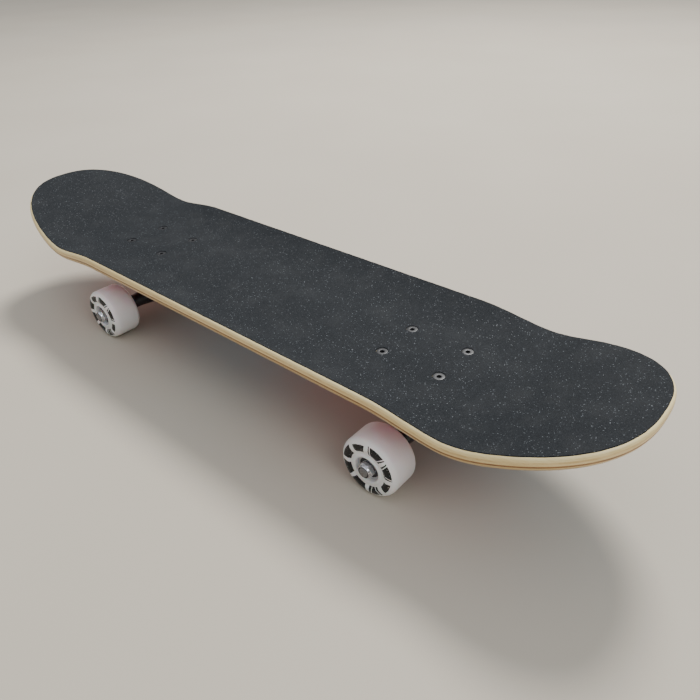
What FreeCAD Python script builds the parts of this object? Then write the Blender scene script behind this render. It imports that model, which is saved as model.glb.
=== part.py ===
"""Skateboard: a seven-ply double-kick deck with grip tape, on two trucks and four wheels.

Frame: +X towards the nose, +Y to the left, +Z up, origin on the floor below the middle of
the deck's length. Millimetres. Every sub-part is written to parts/NODE.step.
"""

import FreeCAD
import Part
import math
import os

from FreeCAD import Rotation, Vector

# ---------------------------------------------------------------- driving dimensions (mm)
# Deck: lengths are measured along the board on the wood's top face.
WHEELBASE = 294.0            # between the two inner rows of truck bolts
BOLT_ROWS = 53.975           # bolt spacing along the board
BOLT_TRACK = 41.275          # bolt spacing across the board
NOSE_LENGTH = 165.0          # outer bolt row to the nose tip
TAIL_LENGTH = 152.0          # outer bolt row to the tail tip
DECK_WIDTH = 171.0
NOSE_ROUND_START = 23.0      # past the outer bolt row, where the straight side ends
TAIL_ROUND_START = 32.0
END_FULLNESS = 2.42          # exponent of the rounded ends: 2 is an ellipse, more is squarer
PLY_THICKNESS = 1.45
KICK_ANGLE = 18.0
KICK_START = 27.0            # past the outer bolt row
KICK_BLEND = 50.0            # length over which the slope grows from flat to KICK_ANGLE
FLAT_HALF_WIDTH = 30.0       # flat strip in the middle, where the trucks seat
CONCAVE_DEPTH = 10.3         # rise of the side edge between the trucks
CONCAVE_IN_KICK = 3.3        # rise of the side edge in nose and tail
CONCAVE_POWER = 2.2
CONCAVE_FADE_START = 30.0    # past the inner bolt row
CONCAVE_FADE = 71.0
EDGE_ROUND = 2.0             # how far the rounded edge draws in at the faces
EDGE_POWER = 2.6             # 2 is a half-round edge, more is a flatter one
GRIP_THICKNESS = 0.7
GRIP_INSET = 2.2             # from the deck's widest line to the tape's cut edge

# Wheels and bearings
WHEEL_DIAMETER = 53.0
WHEEL_WIDTH = 31.0
WHEEL_FACE_RADIUS = 18.5     # flat part of the side face
WHEEL_SHOULDER = 6.0         # rounded shoulder, measured along the axle
WHEEL_LIP_RADIUS = 13.6      # raised ring around the bearing
WHEEL_LIP_HEIGHT = 0.8
WHEEL_DISH = 1.6             # how far the side face is dished between lip and shoulder
BEARING_OUTER = 22.0
BEARING_BORE = 8.0
BEARING_WIDTH = 7.0
BALL_DIAMETER = 3.969
BALL_COUNT = 7
BALL_PITCH = 15.0            # diameter of the circle through the ball centres
BALL_PLAY = 0.02
INNER_SHOULDER = 12.2        # outside diameter of the inner ring
OUTER_SHOULDER = 18.0        # inside diameter of the outer ring
SHIELD_THICKNESS = 0.35
SHIELD_RECESS = 0.30
SHIELD_GAP = 0.25            # between the shield and the inner ring
CAGE_THICKNESS = 1.1
CAGE_WIDTH = 4.8
CAGE_PLAY = 0.08
SPACER_LENGTH = 10.0
SPACER_OUTER = 10.4
SPACER_BORE = 8.2

# Axle and its nuts
AXLE_DIAMETER = 7.9
AXLE_PAST_NUT = 0.4
SPEED_WASHER_OUTER = 12.0
SPEED_WASHER_BORE = 8.2
SPEED_WASHER_THICKNESS = 0.8
WASHER_PLAY = 0.05           # end float between hanger, washer, bearing and nut
AXLE_NUT_FLATS = 12.7
AXLE_NUT_HEIGHT = 6.2

# Truck
TRUCK_HEIGHT = 48.5          # deck's underside to the axle's centre
HANGER_WIDTH = 114.3
AXLE_OFFSET = 8.3            # axle, outboard of the bolt pattern's centre
KINGPIN_ANGLE = 30.0         # from vertical; its nut leans inboard
RING_CENTRE = (-13.0, 34.0)  # hanger ring: outboard of the pattern's centre, below the deck
PIVOT_CENTRE = (24.0, 14.0)  # pivot ball
PLATE_LENGTH_IN = 38.0       # baseplate, inboard of the pattern's centre
PLATE_LENGTH_OUT = 41.0
PLATE_WIDTH = 56.0
PLATE_THICKNESS = 5.5
PLATE_CORNER = 9.0
BOSS_DIAMETER = 28.0
PIVOT_HOUSING_DIAMETER = 21.0
PIVOT_BALL_DIAMETER = 12.0
PIVOT_STEM_DIAMETER = 9.6
PIVOT_CUP_WALL = 2.2
PIVOT_PLAY = 0.05            # between the ball and its cup
KINGPIN_DIAMETER = 9.4
KINGPIN_HEAD_DIAMETER = 15.6
KINGPIN_HEAD_HEIGHT = 5.0
KINGPIN_SEAT = 9.0           # baseplate thickness under the boardside washer
KINGPIN_PAST_NUT = 2.0
KINGPIN_NUT_FLATS = 14.3
KINGPIN_NUT_HEIGHT = 9.0
RING_DIAMETER = 29.0
RING_THICKNESS = 9.0
RING_SEAT_DEPTH = 1.5        # recess for each bushing
RING_BORE = 13.0
BUSHING_DIAMETER = 24.0
BUSHING_BORE = 10.0
BOARDSIDE_BUSHING_HEIGHT = 13.0
ROADSIDE_BUSHING_HEIGHT = 11.0
ROADSIDE_BUSHING_TOP = 17.0
CUP_WASHER_THICKNESS = 1.4
CUP_WASHER_LIP = 1.4         # height of the turned-up rim
BOARDSIDE_WASHER_DIAMETER = 26.5
ROADSIDE_WASHER_DIAMETER = 20.0
TUBE_END_DIAMETER = 15.0     # hanger, at the wheel washers
TUBE_MIDDLE_DIAMETER = 20.0
ARM_DIAMETER = 13.0          # hanger arm that carries the pivot ball
HANGER_HALF_CORE = 13.0      # half the width of the hanger's solid middle

# Mounting hardware
BOLT_DIAMETER = 4.8
BOLT_HEAD_DIAMETER = 9.4
BOLT_HEAD_ANGLE = 82.0
BOLT_HEAD_SUNK = 0.35        # below the grip tape's face
BOLT_SOCKET_FLATS = 3.2
BOLT_SOCKET_DEPTH = 2.0
BOLT_PAST_NUT = 2.0
BOLT_NUT_FLATS = 9.5
BOLT_NUT_HEIGHT = 5.6
HOLE_CLEARANCE = 0.15        # radial, wherever a fastener passes through
CONTACT_GAP = 0.03           # between faces that are clamped together
GRIP_HOLE_CLEARANCE = 0.5    # radial, between bolt head and grip tape

PLY_NAMES = ["ply_1_face", "ply_2_core", "ply_3_cross", "ply_4_core", "ply_5_cross", "ply_6_core", "ply_7_back"]

# ---------------------------------------------------------------- derived sizes
DECK_LENGTH = TAIL_LENGTH + NOSE_LENGTH + WHEELBASE + 2 * BOLT_ROWS
TIP = DECK_LENGTH / 2
HALF_WIDTH = DECK_WIDTH / 2
NOSE_OUTER_BOLTS = TIP - NOSE_LENGTH
TAIL_OUTER_BOLTS = TIP - TAIL_LENGTH
NOSE_TRUCK_X = NOSE_OUTER_BOLTS - BOLT_ROWS / 2
TAIL_TRUCK_X = -(TAIL_OUTER_BOLTS - BOLT_ROWS / 2)
WHEEL_RADIUS = WHEEL_DIAMETER / 2
DECK_UNDERSIDE = WHEEL_RADIUS + TRUCK_HEIGHT
WOOD_THICKNESS = PLY_THICKNESS * len(PLY_NAMES)
WOOD_TOP = DECK_UNDERSIDE + WOOD_THICKNESS

HANGER_FACE = HANGER_WIDTH / 2
INNER_BEARING_Y = HANGER_FACE + SPEED_WASHER_THICKNESS + 2 * WASHER_PLAY
OUTER_BEARING_Y = INNER_BEARING_Y + BEARING_WIDTH + SPACER_LENGTH
WHEEL_RECESS = (WHEEL_WIDTH - 2 * BEARING_WIDTH - SPACER_LENGTH) / 2
WHEEL_INNER_Y = INNER_BEARING_Y - WHEEL_RECESS
OUTER_WASHER_Y = OUTER_BEARING_Y + BEARING_WIDTH + WASHER_PLAY
AXLE_NUT_Y = OUTER_WASHER_Y + SPEED_WASHER_THICKNESS + WASHER_PLAY
AXLE_HALF_LENGTH = AXLE_NUT_Y + AXLE_NUT_HEIGHT + AXLE_PAST_NUT

BOLT_TOP = WOOD_TOP + GRIP_THICKNESS - BOLT_HEAD_SUNK
BOLT_LENGTH = BOLT_TOP - DECK_UNDERSIDE + PLATE_THICKNESS + BOLT_NUT_HEIGHT + BOLT_PAST_NUT
KINGPIN_BORE = KINGPIN_DIAMETER / 2 + HOLE_CLEARANCE
HEAD_RECESS = KINGPIN_HEAD_DIAMETER / 2 + 0.4
WHEEL_CORE_BORE = 16.0       # the wheel's own bore between its two bearings

X_AXIS, Y_AXIS, Z_AXIS = Vector(1, 0, 0), Vector(0, 1, 0), Vector(0, 0, 1)


# ---------------------------------------------------------------- helpers
def smooth_step(t):
    t = min(max(t, 0.0), 1.0)
    return t * t * (3 - 2 * t)


def cylinder(diameter, start, length, axis=Z_AXIS):
    return Part.makeCylinder(diameter / 2, length, start, axis)


def tube(outer, inner, start, length, axis=Z_AXIS):
    return cylinder(outer, start, length, axis).cut(cylinder(inner, start, length, axis))


def revolve_about_z(profile):
    """A solid of revolution about Z, from (radius, height) points."""
    wire = Part.makePolygon([Vector(r, 0, h) for r, h in profile + profile[:1]])
    return Part.Face(wire).revolve(Vector(0, 0, 0), Z_AXIS, 360)


def hexagon_prism(flats, height, start=Vector(0, 0, 0)):
    """A hexagonal bar along Z with its corners turned down to a slight chamfer at both ends."""
    radius = flats / math.sqrt(3)
    corners = [
        start + Vector(radius * math.cos(k * math.pi / 3), radius * math.sin(k * math.pi / 3), 0) for k in range(7)
    ]
    return Part.Face(Part.makePolygon(corners)).extrude(Vector(0, 0, height))


def lock_nut(flats, height, bore):
    """A nylon-insert lock nut standing on Z = 0: a chamfered hexagon under a round collar."""
    hex_height = height * 0.72
    corner = flats / math.sqrt(3)
    chamfer = corner - flats / 2
    turned = revolve_about_z(
        [(0, 0), (flats / 2, 0), (corner, chamfer * 0.6), (corner, hex_height - chamfer * 0.6),
         (flats / 2, hex_height), (0, hex_height)]
    )
    body = hexagon_prism(flats, hex_height).common(turned)
    collar_radius = flats * 0.46
    collar = revolve_about_z(
        [(0, hex_height), (collar_radius, hex_height), (collar_radius, height - 0.8),
         (collar_radius - 0.8, height), (0, height)]
    )
    return body.fuse(collar).removeSplitter().cut(cylinder(bore, Vector(0, 0, -1), height + 2))


def along(shape, origin, axis):
    """Moves a shape built up from Z = 0 so that its Z axis points along axis from origin."""
    moved = shape.copy()
    moved.Placement = FreeCAD.Placement(origin, Rotation(Z_AXIS, axis))
    return moved


def group(shapes):
    return Part.makeCompound(shapes)


# ---------------------------------------------------------------- deck surface
def kick_rise(run):
    """Height gained by a kick that starts at run = 0: the slope grows smoothly, then stays."""
    slope = math.tan(math.radians(KICK_ANGLE))
    if run <= 0:
        return 0.0
    t = min(run / KICK_BLEND, 1.0)
    return slope * (KICK_BLEND * (t**3 - t**4 / 2) + max(run - KICK_BLEND, 0.0))


def top_height(x, y):
    """Height of the wood's top face above the floor."""
    outer_row = NOSE_OUTER_BOLTS if x > 0 else TAIL_OUTER_BOLTS
    past_inner_row = abs(x) - (outer_row - BOLT_ROWS)
    fade = 1 - smooth_step((past_inner_row - CONCAVE_FADE_START) / CONCAVE_FADE)
    depth = CONCAVE_IN_KICK + (CONCAVE_DEPTH - CONCAVE_IN_KICK) * fade
    off_flat = max(abs(y) - FLAT_HALF_WIDTH, 0.0) / (HALF_WIDTH - FLAT_HALF_WIDTH)
    return WOOD_TOP + kick_rise(abs(x) - outer_row - KICK_START) + depth * off_flat**CONCAVE_POWER


def deck_point(x, y, depth):
    """The point that lies depth below the top face, square to it, under plan position (x, y)."""
    step = 0.01
    slope_x = (top_height(x + step, y) - top_height(x - step, y)) / (2 * step)
    slope_y = (top_height(x, y + step) - top_height(x, y - step)) / (2 * step)
    normal = Vector(-slope_x, -slope_y, 1).normalize()
    return Vector(x, y, top_height(x, y)) - normal * depth


def layer_patches(depth):
    """The deck's face at one depth, a little larger than the outline, as a row of patches."""
    margin = 14.0
    columns, rows, patch_count = 61, 21, 6
    reach_x, reach_y = TIP + margin, HALF_WIDTH + margin
    grid = [
        [
            deck_point(-reach_x + 2 * reach_x * i / (columns - 1), -reach_y + 2 * reach_y * j / (rows - 1), depth)
            for j in range(rows)
        ]
        for i in range(columns)
    ]
    whole = Part.BSplineSurface()
    whole.interpolate(grid)
    knots = whole.getUKnots()
    low_v, high_v = whole.bounds()[2:]
    patches = []
    for k in range(patch_count):
        patch = whole.copy()
        first = round(k * (len(knots) - 1) / patch_count)
        last = round((k + 1) * (len(knots) - 1) / patch_count)
        patch.segment(knots[first], knots[last], low_v, high_v)
        patches.append(patch)
    return patches


def rim_curves(patches):
    """The curves round a row of patches, always in the same order."""
    low_u, high_u = patches[0].bounds()[0], patches[-1].bounds()[1]
    curves = [patches[0].uIso(low_u), patches[-1].uIso(high_u)]
    for patch in patches:
        low_v, high_v = patch.bounds()[2:]
        curves += [patch.vIso(low_v), patch.vIso(high_v)]
    return curves


def layer_slab(top_depth, bottom_depth):
    """The sheet between two depths, before its outline is cut."""
    tops, bottoms = layer_patches(top_depth), layer_patches(bottom_depth)
    faces = [patch.toShape() for patch in tops + bottoms]
    for above, below in zip(rim_curves(tops), rim_curves(bottoms)):
        faces.append(Part.makeRuledSurface(above.toShape(), below.toShape()))
    shell = Part.makeShell(faces)
    shell.sewShape()
    return Part.makeSolid(Part.Shell(shell.Faces))


def end_curve(tip, round_start, count):
    """Plan points of one rounded end, from the left side round to the right, for an end at +X."""
    length = tip - round_start
    power = 2 / END_FULLNESS
    points = []
    for k in range(count + 1):
        angle = math.pi * k / count
        x = round_start + length * math.sin(angle) ** power
        y = math.copysign(HALF_WIDTH * abs(math.cos(angle)) ** power, math.cos(angle))
        points.append((x, y))
    return points


def outline_stations():
    """Plan points and outward directions once round the deck, from the middle of the left side."""
    count, straight = 56, 10
    nose_start = NOSE_OUTER_BOLTS + NOSE_ROUND_START
    tail_start = TAIL_OUTER_BOLTS + TAIL_ROUND_START
    nose = end_curve(TIP, nose_start, count)
    tail = [(-x, -y) for x, y in end_curve(TIP, tail_start, count)]
    left_front = [(nose_start * k / straight, HALF_WIDTH) for k in range(straight)]
    right = [(nose_start - (nose_start + tail_start) * k / (2 * straight), -HALF_WIDTH) for k in range(1, 2 * straight)]
    left_back = [(-tail_start * (1 - k / straight), HALF_WIDTH) for k in range(1, straight + 1)]
    points = left_front + nose + right + tail + left_back
    stations = []
    for k, (x, y) in enumerate(points):
        after = points[min(k + 1, len(points) - 1)]
        before = points[max(k - 1, 0)]
        run_x, run_y = after[0] - before[0], after[1] - before[1]
        length = math.hypot(run_x, run_y)
        stations.append((x, y, -run_y / length, run_x / length))
    return stations


def edge_draw_in(depth):
    """How far the rounded edge lies inside the widest line at one depth."""
    return EDGE_ROUND * abs(2 * depth / WOOD_THICKNESS - 1) ** EDGE_POWER


def height_below(x, y, depth):
    """Height of the layer at one depth, straight under plan position (x, y)."""
    step = 0.01
    slope_x = (top_height(x + step, y) - top_height(x - step, y)) / (2 * step)
    slope_y = (top_height(x, y + step) - top_height(x, y - step)) / (2 * step)
    return top_height(x, y) - depth * math.sqrt(1 + slope_x**2 + slope_y**2)


def wall(depths, draw_in):
    """A closed upright wall round the deck, as it is sawn, through one ring of points per depth."""
    rings = []
    for depth in depths:
        inset = draw_in(depth)
        plan = [(x - nx * inset, y - ny * inset) for x, y, nx, ny in outline_stations()]
        rings.append([Vector(x, y, height_below(x, y, depth)) for x, y in plan])
    surface = Part.BSplineSurface()
    surface.interpolate([list(column) for column in zip(*rings)])
    return surface.toShape()


def inside(slab, cutter):
    """The piece of a slab that lies inside a closed wall: far the larger of the two."""
    pieces = slab.generalFuse([cutter])[0].Solids
    return max(pieces, key=lambda piece: piece.Volume)


def steps(start, end, count):
    return [start + (end - start) * k / (count - 1) for k in range(count)]


def bolt_places():
    """Deck positions of the eight mounting bolts."""
    return [
        (truck_x + sx * BOLT_ROWS / 2, sy * BOLT_TRACK / 2)
        for truck_x in (NOSE_TRUCK_X, TAIL_TRUCK_X)
        for sx in (-1, 1)
        for sy in (-1, 1)
    ]


def bolt_profile(clearance, above):
    """Countersunk bolt as (radius, height) below its head's face, opened out by a clearance."""
    shank = BOLT_DIAMETER / 2 + clearance
    head = BOLT_HEAD_DIAMETER / 2 + clearance
    cone = (head - shank) / math.tan(math.radians(BOLT_HEAD_ANGLE / 2))
    rim = 0.4
    return [(0, above), (head, above), (head, -rim), (shank, -rim - cone), (shank, -BOLT_LENGTH), (0, -BOLT_LENGTH)]


def make_deck():
    """Seven plies and the grip tape, each with the bolt holes."""
    outline = wall(steps(-1.5, WOOD_THICKNESS + 1.5, 13), edge_draw_in)
    hole = revolve_about_z(bolt_profile(HOLE_CLEARANCE, 4.0))
    holes = group([along(hole, Vector(x, y, BOLT_TOP), Z_AXIS) for x, y in bolt_places()])
    deck = {}
    for k, name in enumerate(PLY_NAMES):
        slab = layer_slab(k * PLY_THICKNESS, (k + 1) * PLY_THICKNESS)
        deck[name] = inside(slab, outline).cut(holes)
    grip_wall = wall(steps(-GRIP_THICKNESS - 1, 1, 5), lambda depth: GRIP_INSET)
    grip = inside(layer_slab(-GRIP_THICKNESS, 0), grip_wall)
    grip_hole = BOLT_HEAD_DIAMETER + 2 * GRIP_HOLE_CLEARANCE
    punched = group([cylinder(grip_hole, Vector(x, y, WOOD_TOP - 3), 6) for x, y in bolt_places()])
    deck["grip_tape"] = grip.cut(punched)
    return deck


# ---------------------------------------------------------------- truck
# A truck is built with +X outboard and its origin on the deck's underside, at the middle of
# its bolt pattern. Positions along the kingpin count from the middle of the hanger's ring,
# positive towards the kingpin's nut.
def kingpin_point(run):
    x, down = RING_CENTRE
    tilt = math.radians(KINGPIN_ANGLE)
    return Vector(x - run * math.sin(tilt), 0, -down - run * math.cos(tilt))


KINGPIN_AXIS = Vector(-math.sin(math.radians(KINGPIN_ANGLE)), 0, -math.cos(math.radians(KINGPIN_ANGLE)))
PIVOT_BALL = Vector(PIVOT_CENTRE[0], 0, -PIVOT_CENTRE[1])
AXLE_POINT = Vector(AXLE_OFFSET, 0, -TRUCK_HEIGHT)

BUSHING_FACE = RING_THICKNESS / 2 - RING_SEAT_DEPTH
BOARDSIDE_WASHER_FACE = -BUSHING_FACE - 2 * CONTACT_GAP - BOARDSIDE_BUSHING_HEIGHT
PLATE_SEAT = BOARDSIDE_WASHER_FACE - CUP_WASHER_THICKNESS - CONTACT_GAP
KINGPIN_HEAD_FACE = PLATE_SEAT - KINGPIN_SEAT
ROADSIDE_WASHER_FACE = BUSHING_FACE + 2 * CONTACT_GAP + ROADSIDE_BUSHING_HEIGHT
KINGPIN_NUT_FACE = ROADSIDE_WASHER_FACE + CUP_WASHER_THICKNESS + CONTACT_GAP
KINGPIN_END = KINGPIN_NUT_FACE + KINGPIN_NUT_HEIGHT + KINGPIN_PAST_NUT


def on_kingpin(profile, run=0.0):
    """A solid of revolution about the kingpin, from (radius, position) points."""
    return along(revolve_about_z(profile), kingpin_point(run), KINGPIN_AXIS)


def rounded_plate(x_in, x_out, width, thickness, corner):
    plate = Part.makeBox(x_out - x_in, width, thickness, Vector(x_in, -width / 2, -thickness))
    upright = [e for e in plate.Edges if abs(e.tangentAt(e.FirstParameter).z) > 0.99]
    return plate.makeFillet(corner, upright)


def make_baseplate():
    plate = rounded_plate(-PLATE_LENGTH_IN, PLATE_LENGTH_OUT, PLATE_WIDTH, PLATE_THICKNESS, PLATE_CORNER)
    foot, reach = BOSS_DIAMETER / 2 + 3.0, 40.0
    boss = on_kingpin(
        [(0, PLATE_SEAT), (BOSS_DIAMETER / 2 - 1, PLATE_SEAT), (BOSS_DIAMETER / 2, PLATE_SEAT - 1),
         (BOSS_DIAMETER / 2, PLATE_SEAT - 5), (foot, PLATE_SEAT - 12), (foot, PLATE_SEAT - reach), (0, PLATE_SEAT - reach)]
    )
    radius = PIVOT_HOUSING_DIAMETER / 2
    housing = along(
        revolve_about_z([(0, 5), (radius - 1.2, 5), (radius, 3.8), (radius, -6), (radius + 5, -16),
                         (radius + 5, -reach), (0, -reach)]),
        PIVOT_BALL, KINGPIN_AXIS)
    rib = Part.makeBox(60, 7, 12, Vector(-30, -3.5, -12))
    below = Part.makeBox(200, 200, 60, Vector(-100, -100, -60))
    body = plate.fuse([boss.common(below), housing.common(below), rib.common(below)]).removeSplitter()
    within = rounded_plate(-PLATE_LENGTH_IN, PLATE_LENGTH_OUT, PLATE_WIDTH, 60, PLATE_CORNER)
    within.translate(Vector(0, 0, -CONTACT_GAP))
    body = body.common(within)
    bores = [
        on_kingpin([(0, PLATE_SEAT + 1), (KINGPIN_BORE, PLATE_SEAT + 1), (KINGPIN_BORE, KINGPIN_HEAD_FACE),
                    (HEAD_RECESS, KINGPIN_HEAD_FACE), (HEAD_RECESS, -60), (0, -60)]),
        along(revolve_about_z(pivot_cup_outside(CONTACT_GAP, 2.0)), PIVOT_BALL, KINGPIN_AXIS),
    ]
    holes = [cylinder(BOLT_DIAMETER + 2 * HOLE_CLEARANCE, Vector(x, y, -40), 60) for x, y in truck_bolts()]
    return body.cut(group(bores + holes))


def truck_bolts():
    return [(sx * BOLT_ROWS / 2, sy * BOLT_TRACK / 2) for sx in (-1, 1) for sy in (-1, 1)]


def dome(radius, centre_height, count=24):
    """Quarter-circle points of a domed end that points down, from the side to the axis."""
    return [
        (radius * math.cos(math.pi / 2 * k / count), centre_height - radius * math.sin(math.pi / 2 * k / count))
        for k in range(count + 1)
    ]


def pivot_cup_outside(clearance, above):
    """Outside of the pivot cup about the ball's centre: a straight wall over a domed bottom."""
    radius = PIVOT_BALL_DIAMETER / 2 + PIVOT_CUP_WALL + clearance
    return [(0, 5 + above), (radius, 5 + above)] + dome(radius, 0)


def make_pivot_cup():
    inside_radius = PIVOT_BALL_DIAMETER / 2 + PIVOT_PLAY
    cavity = [(0, 6.0), (inside_radius, 6.0)] + dome(inside_radius, 0)
    cup = revolve_about_z(pivot_cup_outside(0, 0)).cut(revolve_about_z(cavity))
    return along(cup, PIVOT_BALL, KINGPIN_AXIS)


def make_kingpin():
    shank = KINGPIN_DIAMETER / 2
    head = KINGPIN_HEAD_DIAMETER / 2
    face = KINGPIN_HEAD_FACE - CONTACT_GAP
    back = face - KINGPIN_HEAD_HEIGHT
    return on_kingpin(
        [(0, back), (head - 1, back), (head, back + 1), (head, face), (shank, face),
         (shank, KINGPIN_END - 0.8), (shank - 0.8, KINGPIN_END), (0, KINGPIN_END)]
    )


def cup_washer(diameter, bore, face, lip_side):
    """A washer with a turned-up rim. Its flat inner face is at face and the rim turns to lip_side."""
    r, t = diameter / 2, CUP_WASHER_THICKNESS
    top = face + lip_side * CUP_WASHER_LIP
    back = face - lip_side * t
    inner = BUSHING_DIAMETER / 2 + 0.15 if diameter > BUSHING_DIAMETER else r - 1.2
    profile = [(bore, back), (r - 0.6, back), (r, back + lip_side * 0.6), (r, top), (inner + 0.2, top),
               (inner, face), (bore, face)]
    return on_kingpin(profile)


def bushing(face, height, side, waist):
    """A urethane bushing that starts at face: a barrel for waist = 0, else a cone."""
    r, bore = BUSHING_DIAMETER / 2, BUSHING_BORE / 2
    end = face + side * height
    return on_kingpin(
        [(bore, face), (r - 0.6, face), (r, face + side * 0.6), (r, face + side * 3.0),
         (r - waist, end - side * 0.6), (r - waist - 0.6, end), (bore, end)]
    )


def hanger_tube_profile():
    """Half of the axle tube as (radius, distance from the middle)."""
    end, middle = TUBE_END_DIAMETER / 2, TUBE_MIDDLE_DIAMETER / 2
    swell = [
        (end + (middle - end) * smooth_step(1 - (y - 16.0) / (HANGER_FACE - 14.0 - 16.0)), y)
        for y in steps(16.0, HANGER_FACE - 14.0, 12)
    ]
    return swell + [(end, HANGER_FACE - 3.0), (end - 1.0, HANGER_FACE)]


def make_hanger():
    half = hanger_tube_profile()
    mirrored = [(r, -y) for r, y in reversed(half)]
    profile = [(0, -HANGER_FACE)] + mirrored + half + [(0, HANGER_FACE)]
    tube_body = along(revolve_about_z(profile), AXLE_POINT, Y_AXIS)
    ring = cylinder(RING_DIAMETER, kingpin_point(-RING_THICKNESS / 2), RING_THICKNESS, KINGPIN_AXIS)
    ring = ring.makeFillet(1.2, [e for e in ring.Edges if len(e.Vertexes) == 1])
    web = make_web()
    nose = along(revolve_about_z(nose_profile()), PIVOT_BALL, KINGPIN_AXIS)
    body = tube_body.fuse([ring, web, nose]).removeSplitter()
    seat = BUSHING_DIAMETER / 2 + 0.4
    bore = RING_BORE / 2
    cut = on_kingpin(
        [(0, -20), (seat, -20), (seat, -BUSHING_FACE), (bore, -BUSHING_FACE), (bore, BUSHING_FACE),
         (seat, BUSHING_FACE), (seat, 20), (0, 20)]
    )
    axle_bore = cylinder(AXLE_DIAMETER, AXLE_POINT - Y_AXIS * 100, 200, Y_AXIS)
    return body.cut(group([cut, axle_bore]))


def nose_profile():
    """The pivot nose about the ball's centre, from the ball's end back into the hanger."""
    ball, stem, arm = PIVOT_BALL_DIAMETER / 2, PIVOT_STEM_DIAMETER / 2, ARM_DIAMETER / 2
    meet = math.sqrt(ball**2 - stem**2)
    top = math.asin(meet / ball)
    arc = [(ball * math.cos(a), ball * math.sin(a)) for a in steps(-math.pi / 2, top, 32)]
    return [(0, -ball)] + arc[1:] + [(stem, 9.0), (arm, 17.0), (arm + 2.0, 27.0), (arm + 2.5, 38.0), (0, 38.0)]


def make_web():
    """The hanger's middle: a rounded yoke from the ring to the axle tube, with tapering wings."""
    half = RING_THICKNESS / 2
    spans = [(0.0, RING_DIAMETER / 2 - 0.6, half), (14.0, HANGER_HALF_CORE + 1.0, half + 1.0), (25.0, 26.0, half + 2.0)]
    wires = []
    for out, y_half, thick in spans:
        corner = thick - 0.4
        wires.append(rounded_section(out, y_half, thick, corner))
    return Part.makeLoft(wires, True, False)


def rounded_section(out, y_half, thick, corner):
    """A rounded rectangle across the hanger, out from the kingpin in the ring's plane."""
    outward = Vector(math.cos(math.radians(KINGPIN_ANGLE)), 0, -math.sin(math.radians(KINGPIN_ANGLE)))
    centre = kingpin_point(0) + outward * out
    points = []
    for sy, ss, start in ((1, 1, 0), (-1, 1, 90), (-1, -1, 180), (1, -1, 270)):
        for k in range(7):
            a = math.radians(start + 15 * k)
            y = sy * (y_half - corner) + corner * math.cos(a)
            s = ss * (thick - corner) + corner * math.sin(a)
            points.append(centre + Y_AXIS * y + KINGPIN_AXIS * s)
    return Part.makePolygon(points + points[:1])


def make_truck():
    """The truck's own pieces, keyed by name, with the axle but without the wheels."""
    nut_bore = KINGPIN_DIAMETER
    kingpin_nut = along(
        lock_nut(KINGPIN_NUT_FLATS, KINGPIN_NUT_HEIGHT, nut_bore), kingpin_point(KINGPIN_NUT_FACE), KINGPIN_AXIS)
    washer_bore = BUSHING_BORE / 2
    axle_start = AXLE_POINT - Y_AXIS * AXLE_HALF_LENGTH
    axle = cylinder(AXLE_DIAMETER, axle_start, 2 * AXLE_HALF_LENGTH, Y_AXIS)
    axle = axle.makeChamfer(0.6, [e for e in axle.Edges if len(e.Vertexes) == 1 and e.Length < 30])
    bolt_nut = lock_nut(BOLT_NUT_FLATS, BOLT_NUT_HEIGHT, BOLT_DIAMETER)
    under_plate = -PLATE_THICKNESS - CONTACT_GAP
    bolt = revolve_about_z(bolt_profile(0.0, 0.0)).cut(
        hexagon_prism(BOLT_SOCKET_FLATS, BOLT_SOCKET_DEPTH + 1, Vector(0, 0, -BOLT_SOCKET_DEPTH)))
    truck = {
        "baseplate": make_baseplate(),
        "pivot_cup": make_pivot_cup(),
        "kingpin": make_kingpin(),
        "kingpin_nut": kingpin_nut,
        "boardside_bushing": bushing(-BUSHING_FACE - CONTACT_GAP, BOARDSIDE_BUSHING_HEIGHT, -1, 0.0),
        "roadside_bushing": bushing(BUSHING_FACE + CONTACT_GAP, ROADSIDE_BUSHING_HEIGHT, 1,
                                    (BUSHING_DIAMETER - ROADSIDE_BUSHING_TOP) / 2),
        "boardside_washer": cup_washer(BOARDSIDE_WASHER_DIAMETER, washer_bore, BOARDSIDE_WASHER_FACE, 1),
        "roadside_washer": cup_washer(ROADSIDE_WASHER_DIAMETER, washer_bore, ROADSIDE_WASHER_FACE, -1),
        "hanger": make_hanger(),
        "axle": axle,
        "axle_nuts": both_sides(along(lock_nut(AXLE_NUT_FLATS, AXLE_NUT_HEIGHT, AXLE_DIAMETER),
                                      Vector(0, AXLE_NUT_Y, 0), Y_AXIS)),
        "speed_washers": both_sides(group([speed_washer(HANGER_FACE + WASHER_PLAY), speed_washer(OUTER_WASHER_Y)])),
        "inner_rings": both_sides(group([inner_ring(y) for y in (INNER_BEARING_Y, OUTER_BEARING_Y)])),
        "spacers": both_sides(tube(SPACER_OUTER, SPACER_BORE, Vector(0, INNER_BEARING_Y + BEARING_WIDTH, 0),
                                   SPACER_LENGTH, Y_AXIS)),
        "mounting_bolts": group([along(bolt, Vector(x, y, BOLT_TOP - DECK_UNDERSIDE), Z_AXIS) for x, y in truck_bolts()]),
        "mounting_nuts": group([along(bolt_nut, Vector(x, y, under_plate), -Z_AXIS) for x, y in truck_bolts()]),
    }
    return truck


# ---------------------------------------------------------------- wheel and bearings
# Built on the left-hand end of an axle that runs along Y through the origin.
def both_sides(shape):
    """A left-hand piece and its mirror image, moved onto the axle."""
    pair = group([shape, shape.mirror(Vector(0, 0, 0), Y_AXIS)])
    pair.translate(AXLE_POINT)
    return pair


def speed_washer(start):
    return tube(SPEED_WASHER_OUTER, SPEED_WASHER_BORE, Vector(0, start, 0), SPEED_WASHER_THICKNESS, Y_AXIS)


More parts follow.
